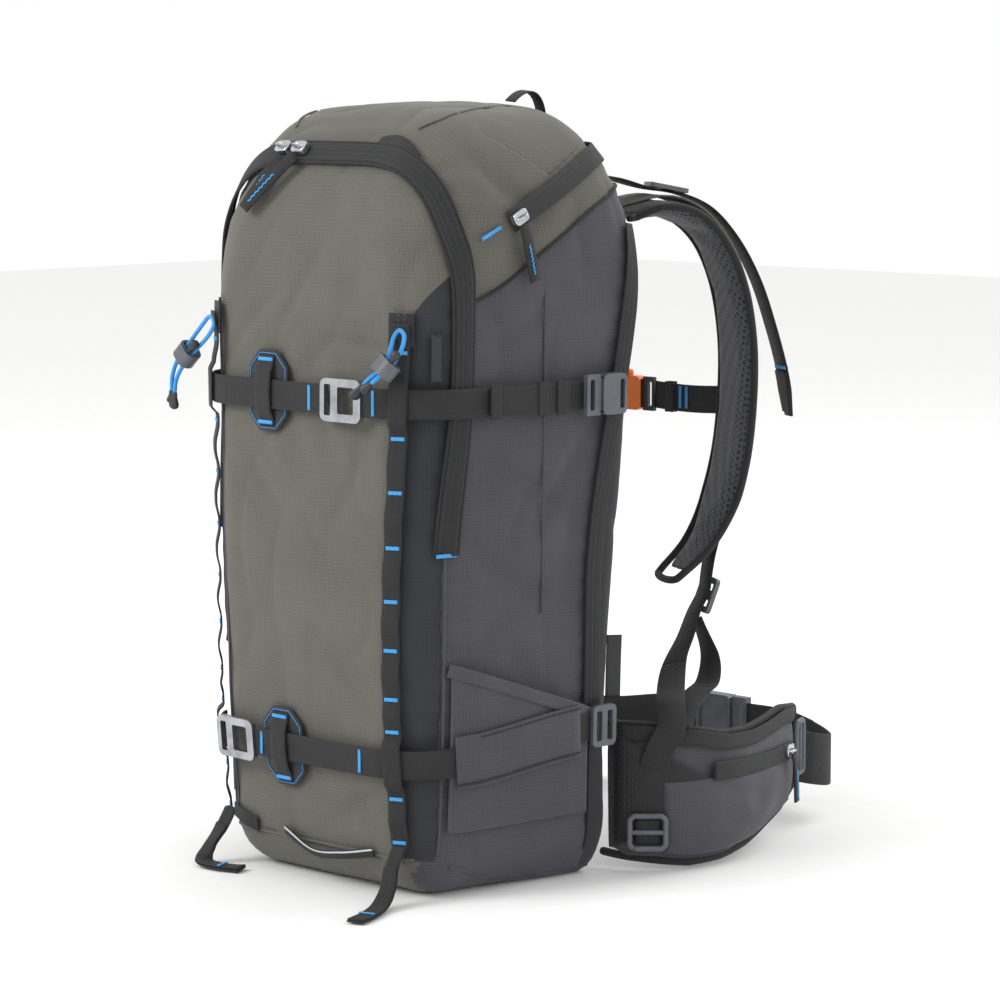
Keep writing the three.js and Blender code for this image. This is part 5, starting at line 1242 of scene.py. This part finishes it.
for side, name in ((1, "right"), (-1, "left")):
    body = "strap_" + name
    centre = np.array([side * AXIS_X, AXIS_Y, 0.33])
    line, across, normal, t = strap_frame(side, [strap_put(side, *p) for p in PAD_CURVE], 64)
    outer_sign = np.sign(((line - centre) * normal).sum(1).mean())
    normal = normal * outer_sign
    width = 0.060 * np.where(t > 0.8, 1 - 1.9 * (t - 0.8), 1)
    thick = 0.012 * np.minimum(1, 0.55 + 6 * np.minimum(t, 1 - t))
    pad = cover("shoulder_pad_" + name, line[1:-1], across[1:-1], normal[1:-1], (width - 0.003)[1:-1],
                (thick - 0.0035)[1:-1])
    fill(pad, 0.0026, 0.004)
    def faces_out(c, n, line=line, normal=normal):
        near = int(((line - c) ** 2).sum(1).argmin())
        return float(np.dot(n, normal[near])) > -0.05
    two_faced(pad, SLATE_RIPSTOP, SPACER_MESH, faces_out)
    place(pad, body, "strap_pad_" + name, slot="mesh_foam")
    tip = [line[-1] + across[-1] * width[-1] / 2 * math.cos(a) * 0.94
           + unit(line[-1] - line[-3]) * 0.004 * math.sin(a)
           for a in np.linspace(0.15, math.pi - 0.15, 12)]
    edge = [p + a * w / 2 * 0.97 for p, a, w in zip(line[1:-1], across[1:-1], width[1:-1])]
    edge += tip + [p - a * w / 2 * 0.97 for p, a, w in zip(line[1:-1], across[1:-1], width[1:-1])][::-1]
    place(tube("pad_binding_" + name, smooth_line(edge, 320), 0.0027, BINDING, 12), body)
    top = slice(3, 34)
    place(ribbon("pad_strip_" + name, line[top] + normal[top] * (thick[top] / 2)[:, None], normal[top],
                 0.032, 0.0016,
                 OLIVE_RIPSTOP, base=0.0008), body, slot="ripstop_olive")
    rail = slice(30, 50)
    place(ribbon("pad_rail_" + name, line[rail] + normal[rail] * (thick[rail] / 2)[:, None], normal[rail],
                 0.020, 0.0014,
                 WEBBING_BLACK, base=0.0006), body)
    lifter_low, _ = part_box("load_lifter_" + name)
    root = np.array([side * 0.072, lifter_low[1] + 0.0015, 0.484])
    lift, lift_across, lift_normal, lt = strap_frame(side,
        [root] + [strap_put(side, *p) for p in LIFTER_CURVE], 90)
    lift_normal = lift_normal * np.sign(((lift - centre) * lift_normal).sum(1).mean())
    taper = np.where(lt > 0.93, 1 - 5.5 * (lt - 0.93), 1)
    place(ribbon("lifter_webbing_" + name, lift, lift_normal, 0.020, HANG_THICK, WEBBING_BLACK,
                 base=-HANG_THICK / 2,
                 widths=taper), body, "load_lifter_" + name)
    place(ribbon("lifter_fold_" + name, lift[78:89] - lift_normal[78:89] * 0.0007, -lift_normal[78:89],
                 0.0195, 0.0012,
                 WEBBING_BLACK, widths=taper[78:89]), body)
    tack("lifter_tack_" + name, lift[77] + lift_normal[77] * 0.0007, lift_normal[77], lift_across[77],
         0.017, body)
    tack("lifter_tack_in_" + name, lift[77] - lift_normal[77] * 0.0007, -lift_normal[77], lift_across[77],
         0.017, body)
    web_points = [strap_put(side, *p) for p in WEB_UPPER] + [
        np.array([side * x, y, z]) * MM for x, y, z in WEB_LOWER]
    web, web_across, web_normal, _ = strap_frame(side, web_points, 110, (side * 0.64, 0.77, 0))
    web_normal = web_normal * np.sign(((web[:40] - centre) * web_normal[:40]).sum(1).mean())
    def hanging(label, line, normals, width, joint, *nodes):
        """Webbing between two bodies, made as an upper and a lower half whose transforms are baked in place."""
        half = len(line) * 6 // 11
        for part, rows, other, far in (("upper", slice(0, half + 1), body, joint),
                                       ("lower", slice(half, None), "hip_" + name, -4)):
            piece = ribbon(f"{label}_{part}", line[rows], normals[rows], width, HANG_THICK, WEBBING_BLACK,
                           base=-HANG_THICK / 2)
            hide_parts(*nodes)
            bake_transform(piece)
    hanging("strap_webbing_band_" + name, web, web_normal, 0.020, 38, "strap_webbing_" + name)
    spare_points = [np.array([side * x, y, z]) * MM for x, y, z in SPARE_WEB]
    spare = curve_through(spare_points, 50)
    spare_across = unit(np.array([blend_of(np.array([side * 0.90, -0.44, 0]),
                                           np.array([side * 0.64, 0.77, 0]), s)
                                  for s in np.linspace(0, 1, 50)]))
    spare_normal = unit(np.cross(spare_across, np.gradient(spare, axis=0)))
    hanging("strap_webbing_spare_" + name, spare, spare_normal, 0.019, 2, "strap_webbing_" + name)
    for i, row in enumerate((4, 9)):
        tack(f"web_tack_{name}_{i}", web[row] + web_normal[row] * 0.0007, web_normal[row], web_across[row],
             0.016, body)
    print("strap", name, "pad", round(float(np.linalg.norm(np.diff(line, axis=0), axis=1).sum()) * 1000),
          "mm, lifter", round(float(np.linalg.norm(np.diff(lift, axis=0), axis=1).sum()) * 1000), "mm")

# %% [markdown]
# ### Chest strap
# The chest strap runs on the inner edges of the shoulder straps and closes with an orange whistle buckle.
# Its spare end is folded twice and held by a keeper.

# %% Chest strap
for side, name in ((1, "right"), (-1, "left")):
    low, high = (np.array(c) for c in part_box("sternum_webbing_" + name))
    xs = np.linspace(low[0], high[0], 40)
    line = np.array([[x, low[1] + 0.0002, 0.320] for x in xs])
    sag = 0.0012 * np.sin(np.linspace(0, math.pi, 40))
    line[:, 2] -= sag
    body = "chest_" + name
    place(ribbon("chest_webbing_" + name, line, [0, 1, 0], 0.020, 0.0012, WEBBING_BLACK), body,
          "sternum_webbing_" + name)
    spare = line[6:24] if side > 0 else line[18:34]
    place(ribbon("chest_spare_" + name, spare + [0, 0.0013, 0], [0, 1, 0], 0.0195, 0.0011, WEBBING_BLACK),
          body)
    near = spare[3] if side > 0 else spare[-4]
    keeper = np.array([near + [d, 0.0024, 0] for d in np.linspace(-0.004, 0.004, 5)])
    place(ribbon("chest_keeper_" + name, keeper, [0, 1, 0], 0.0225, 0.0010, BINDING), body)
    place(ribbon("chest_keeper_in_" + name, keeper - [0, 0.0026, 0], [0, -1, 0], 0.0225, 0.0010, BINDING),
          body)
    for i, x in enumerate((near[0] + side * 0.010, near[0] + side * 0.016)):
        tack(f"chest_tack_{name}_{i}", [x, line[0][1], 0.3195], [0, -1, 0], [0, 0, 1], 0.016, body)
low, high = (np.array(c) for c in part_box("sternum_socket"))
whistle = [np.array([low[0] + 0.007, (low[1] + high[1]) / 2, high[2] + d])
           for d in (-0.001, 0.001, 0.003, 0.0045)]
place(tube("whistle_mouthpiece", whistle, 0.0034, ACETAL_ORANGE, 16), "chest_left", slot="acetal_orange")
band_line = np.array([[x, high[1], 0.320] for x in np.linspace(low[0] + 0.003, low[0] + 0.007, 5)])
place(ribbon("buckle_band", band_line, [0, 1, 0], 0.022, 0.0009, ACETAL_DARK), "chest_left",
      slot="acetal_grey")

# %% [markdown]
# ### Hip belt
# Each fin is foam in a cover of slate cloth outside and mesh inside, bound all round in black. The right
# fin has a zipped pocket whose cloth hangs in loose folds. A webbing wing steadies the fin at its root,
# with its own ladder lock, and the belt webbing comes out of a buckle at the tip.

# %% Hip fins
FIN_LINE = [(104, 80.2), (122, 85), (138, 97), (150, 118), (154, 148), (148, 187), (136, 226), (119, 272)]
BELT_WIDTH, BELT_THICK = 0.038, 0.0018
BELT_ENDS = {1: 0.0145, -1: 0.035}  # how far from the middle each webbing stops, inside its own buckle half
FIN_EDGES = np.array([[8, 104], [5, 104], [1, 100], [1.5, 93], [5, 91], [12, 93], [18, 96], [30, 92]]) * MM
FIN_THICK, FIN_STEPS = 0.014, 60

def fin_frame(side):
    line = curve_through([np.array([x, y, 0]) * MM for x, y in FIN_LINE], FIN_STEPS)
    ahead = unit(np.gradient(line, axis=0))
    normal = np.stack([ahead[:, 1], -ahead[:, 0], 0 * ahead[:, 0]], 1)
    line, normal = line * [side, 1, 1], normal * [side, 1, 1]
    place_on = np.linspace(0, 1, FIN_STEPS) * 7
    lows = np.interp(place_on, range(8), FIN_EDGES[:, 0])
    highs = np.interp(place_on, range(8), FIN_EDGES[:, 1])
    return line, normal, lows, highs

def on_fin(frame_of, t, z, lift=0.0):
    line, normal, _, _ = frame_of
    at = t * (FIN_STEPS - 1)
    i = min(int(at), FIN_STEPS - 2)
    spot = blend_of(line[i], line[i + 1], at - i) + unit(blend_of(normal[i], normal[i + 1], at - i)) * (
        FIN_THICK / 2 * min(1, 0.5 + 5 * min(t, 1 - t)) + lift)
    return spot + [0, 0, z], unit(blend_of(normal[i], normal[i + 1], at - i))

def fin_strip(name, frame_of, ts, zs, lift, width, thick, finish, body, slot="webbing_black"):
    spots = [on_fin(frame_of, t, z, lift) for t, z in zip(ts, zs)]
    return place(ribbon(name, [s for s, _ in spots], [n for _, n in spots], width, thick, finish), body,
                 slot=slot)

def ladder_lock(name, centre, along, across, normal, size, body):
    """A small frame with two bars, moulded in one piece."""
    along, across, normal = unit(along), unit(across), unit(normal)
    w, h = size
    bars = [([(-w, -h), (w, -h), (w, h), (-w, h), (-w, -h)], 0.0021), ([(-w, 0), (w, 0)], 0.0019)]
    for i, (outline, radius) in enumerate(bars):
        points = [np.asarray(centre) + across * a + along * b for a, b in outline]
        fine = [points[0] * (1 - s) + points[1] * s
                for s in np.linspace(0, 1, 8)] if len(points) == 2 else None
        if fine is None:
            fine = []
            for a, b in zip(points[:-1], points[1:]):
                fine += [a * (1 - s) + b * s for s in np.linspace(0.12, 0.88, 6)]
            fine = smooth_line(fine + [fine[0]], 60)
        place(tube(f"{name}_{'frame' if i == 0 else 'bar'}", fine, radius, ACETAL_GREY, 10), body,
              slot="acetal_grey")

for side, name in ((1, "right"), (-1, "left")):
    body = "hip_" + name
    frame_of = fin_frame(side)
    line, normal, lows, highs = frame_of
    share = np.linspace(0, 1, FIN_STEPS)
    thick = FIN_THICK * np.minimum(1, 0.5 + 5 * np.minimum(share, 1 - share))
    middles = line + np.stack([0 * lows, 0 * lows, (lows + highs) / 2], 1)
    up = np.broadcast_to(np.array([0.0, 0, 1]), line.shape)
    fin = cover("hip_pad_" + name, middles[1:-1], up[1:-1], normal[1:-1], (highs - lows - 0.003)[1:-1],
                (thick - 0.004)[1:-1], 28)
    fill(fin, 0.0026, 0.005, held=lambda p: p[2] < 0.006)
    def fin_out(c, n, line=line, normal=normal):
        near = int(((line[:, :2] - c[:2]) ** 2).sum(1).argmin())
        return float(np.dot(n, normal[near])) > -0.1
    two_faced(fin, SLATE_RIPSTOP, SPACER_MESH, fin_out)
    place(fin, body, "hip_fin_" + name, slot="ripstop_slate")
    rim = [m + [0, 0, (h - l) / 2 - 0.001] for m, l, h in zip(middles, lows, highs)]
    rim += [middles[-1] + unit(line[-1] - line[-3]) * 0.002 * math.cos(a)
            + [0, 0, (highs[-1] - lows[-1]) / 2 * math.sin(a) * 0.95]
            for a in np.linspace(1.3, -1.3, 10)]
    rim += [m - [0, 0, (h - l) / 2 - 0.0035] for m, l, h in zip(middles, lows, highs)][::-1]
    rim = [p if p[2] > 0.0032 else np.array([p[0], p[1], 0.0032]) for p in rim]
    place(tube("hip_binding_" + name, smooth_line(rim, 260), 0.0030, BINDING, 12), body)
    wing_rows = []
    for u in np.linspace(0, 1, 14):
        t = 0.06 + 0.32 * u
        top, foot = blend_of(0.098, 0.060, u), blend_of(0.018, 0.050, u)
        wing_rows.append([on_fin(frame_of, t, z, 0.0012)[0] for z in np.linspace(foot, top, 10)])
    verts = [p for row in wing_rows for p in row]
    faces = [(i * 10 + j, (i + 1) * 10 + j, (i + 1) * 10 + j + 1, i * 10 + j + 1)[::side]
             for i in range(13) for j in range(9)]
    wing = object_from("hip_wing_" + name, verts, faces, WEBBING_BLACK, [(p[1], p[2]) for p in verts])
    wing.modifiers.new("cloth_thickness", "SOLIDIFY").thickness = 0.0012
    place(wing, body)
    spot, out = on_fin(frame_of, 0.155, 0.029, 0.0035)
    sideways = unit(np.cross([0, 0, 1], out))
    ladder_lock("hip_wing_lock_" + name, spot, [0, 0, 1], sideways, out, (0.0125, 0.0115), body)
    fin_strip("hip_wing_webbing_" + name, frame_of, np.linspace(0.125, 0.185, 8), [0.029] * 8, 0.0022,
              0.018, 0.0012,
              WEBBING_BLACK, body)
    fin_strip("hip_top_tape_" + name, frame_of, np.linspace(0.07, 0.97, 60),
              [np.interp(t * 7, range(8), FIN_EDGES[:, 1]) - 0.006 for t in np.linspace(0.07, 0.97, 60)],
              -0.0014, 0.011, 0.0012,
              BINDING, body)
    tip, tip_out = on_fin(frame_of, 0.985, 0.062, 0.003)
    tip_along = unit(np.cross([0, 0, 1], tip_out))
    ladder_lock("hip_tip_lock_" + name, tip, tip_along, [0, 0, 1], tip_out, (0.019, 0.008), body)
    belt = [(118.2, 276.3, 54), (124, 292, 50), (121, 313, 46), (103, 332, 45), (74, 342, 49), (48, 346, 52),
            (BELT_ENDS[side] * 1000, 346, 52)]
    belt = curve_through([np.array([side * x, y, z]) * MM for x, y, z in belt], 90)
    belt_normal = unit(np.cross(np.gradient(belt, axis=0), [0, 0, 1])) * side
    place(ribbon("belt_webbing_" + name, belt, belt_normal, BELT_WIDTH, BELT_THICK, WEBBING_BLACK,
                 base=-BELT_THICK / 2),
          body, "hip_webbing_" + name)
    spare = belt[52:84] + belt_normal[52:84] * 0.0014
    place(ribbon("belt_spare_" + name, spare, belt_normal[52:84], 0.037, 0.0015, WEBBING_BLACK), body)
    if side > 0:
        ts = np.linspace(0.36, 0.88, 50)
        fall = [0.0665 + 0.002 * math.sin(6 * t) for t in ts]
        fin_strip("hip_zip_tape", frame_of, ts, fall, 0.0016, 0.013, 0.0013, ZIP_TAPE, body)
        rows = []
        for u in np.linspace(0, 1, 40):
            t = 0.20 + 0.66 * u
            foot = float(np.interp(t * 7, range(8), FIN_EDGES[:, 0])) + 0.010
            column = []
            for v in np.linspace(0, 1, 24):
                z = blend_of(foot, 0.0635, v)
                loose = noise.noise(Vector((u * 5 + v * 2.2, v * 2.5 - u * 3, 2.2)))
                puff = 0.0042 * math.sin(math.pi * min(1, v * 1.05)) ** 0.6 * math.sin(math.pi * u) ** 0.5
                column.append(on_fin(frame_of, t, z, 0.0014 + puff * (1 + 0.55 * loose))[0])
            rows.append(column)
        verts = [p for row in rows for p in row]
        faces = [(i * 24 + j, (i + 1) * 24 + j, (i + 1) * 24 + j + 1, i * 24 + j + 1) for i in range(39)
                 for j in range(23)]
        pouch = object_from("hip_pocket_cloth", verts, faces, SLATE_RIPSTOP)
        pouch.modifiers.new("cloth_thickness", "SOLIDIFY").thickness = 0.001
        place(pouch, body, slot="ripstop_slate")
        low, high = (np.array(c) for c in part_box("hip_slider"))
        hang = (low + high) / 2 + [0.004, 0.001, -0.002]
        tab_line = [hang, hang + [0.0015, 0.001, -0.010], hang + [0.001, 0.003, -0.036]]
        tab_line = smooth_line(tab_line, 24)
        tab_out = unit(np.cross(np.broadcast_to([0.34, -0.94, 0.0], tab_line.shape),
                                np.gradient(tab_line, axis=0)))
        place(ribbon("hip_pull_tab", tab_line, tab_out, 0.008, 0.0018, WEBBING_BLACK, base=-0.0009),
              "hip_zip")
        for face in (0.0009, -0.0014):
            place(ribbon("hip_pull_thread_" + ("out" if face > 0 else "in"), tab_line[8:-2], tab_out[8:-2],
                         0.0016, 0.0005,
                         BLUE_THREAD, base=face), "hip_zip", slot="elastic_blue")
print("hip belt dressed")

# %% [markdown]
# ### Back pad
# The back pad is a wide cushion of spacer mesh over foam with a cooling channel down its middle. It was cut
# as one cover and quilted, so the channel and two cross grooves pull in where they are sewn.

# %% Back pad
low, high = (np.array(c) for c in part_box("back_pad"))
source = bpy.data.objects.new("back_cushion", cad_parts["back_pad"].data.copy())
bpy.context.scene.collection.objects.link(source)
fill(source, 0.004, 0.005, pressure=2.5, held=lambda p: abs(p[0]) < 0.016 or p[0] ** 2 > 0.083 ** 2)
source.data.materials.clear()
source.data.materials.append(SPACER_MESH)
for face in source.data.polygons:
    face.material_index = 0
place(source, "bag", "back_pad", slot="mesh_foam")
for node, finish in (("frame_sheet", POLYETHYLENE), ("frame_stay", ALUMINIUM)):
    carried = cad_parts[node]
    carried.data.materials.clear()
    carried.data.materials.append(finish)
print("back pad", np.round(high - low, 3))

# %% [markdown]
# ## Floor and finish
# The pack stands on matt white paper, which keeps a soft shadow at its foot.

# %% Floor and finish
floor_mesh = object_from("floor", [(-6, -6, 0), (6, -6, 0), (6, 6, 0), (-6, 6, 0)], [(0, 1, 2, 3)], FLOOR)
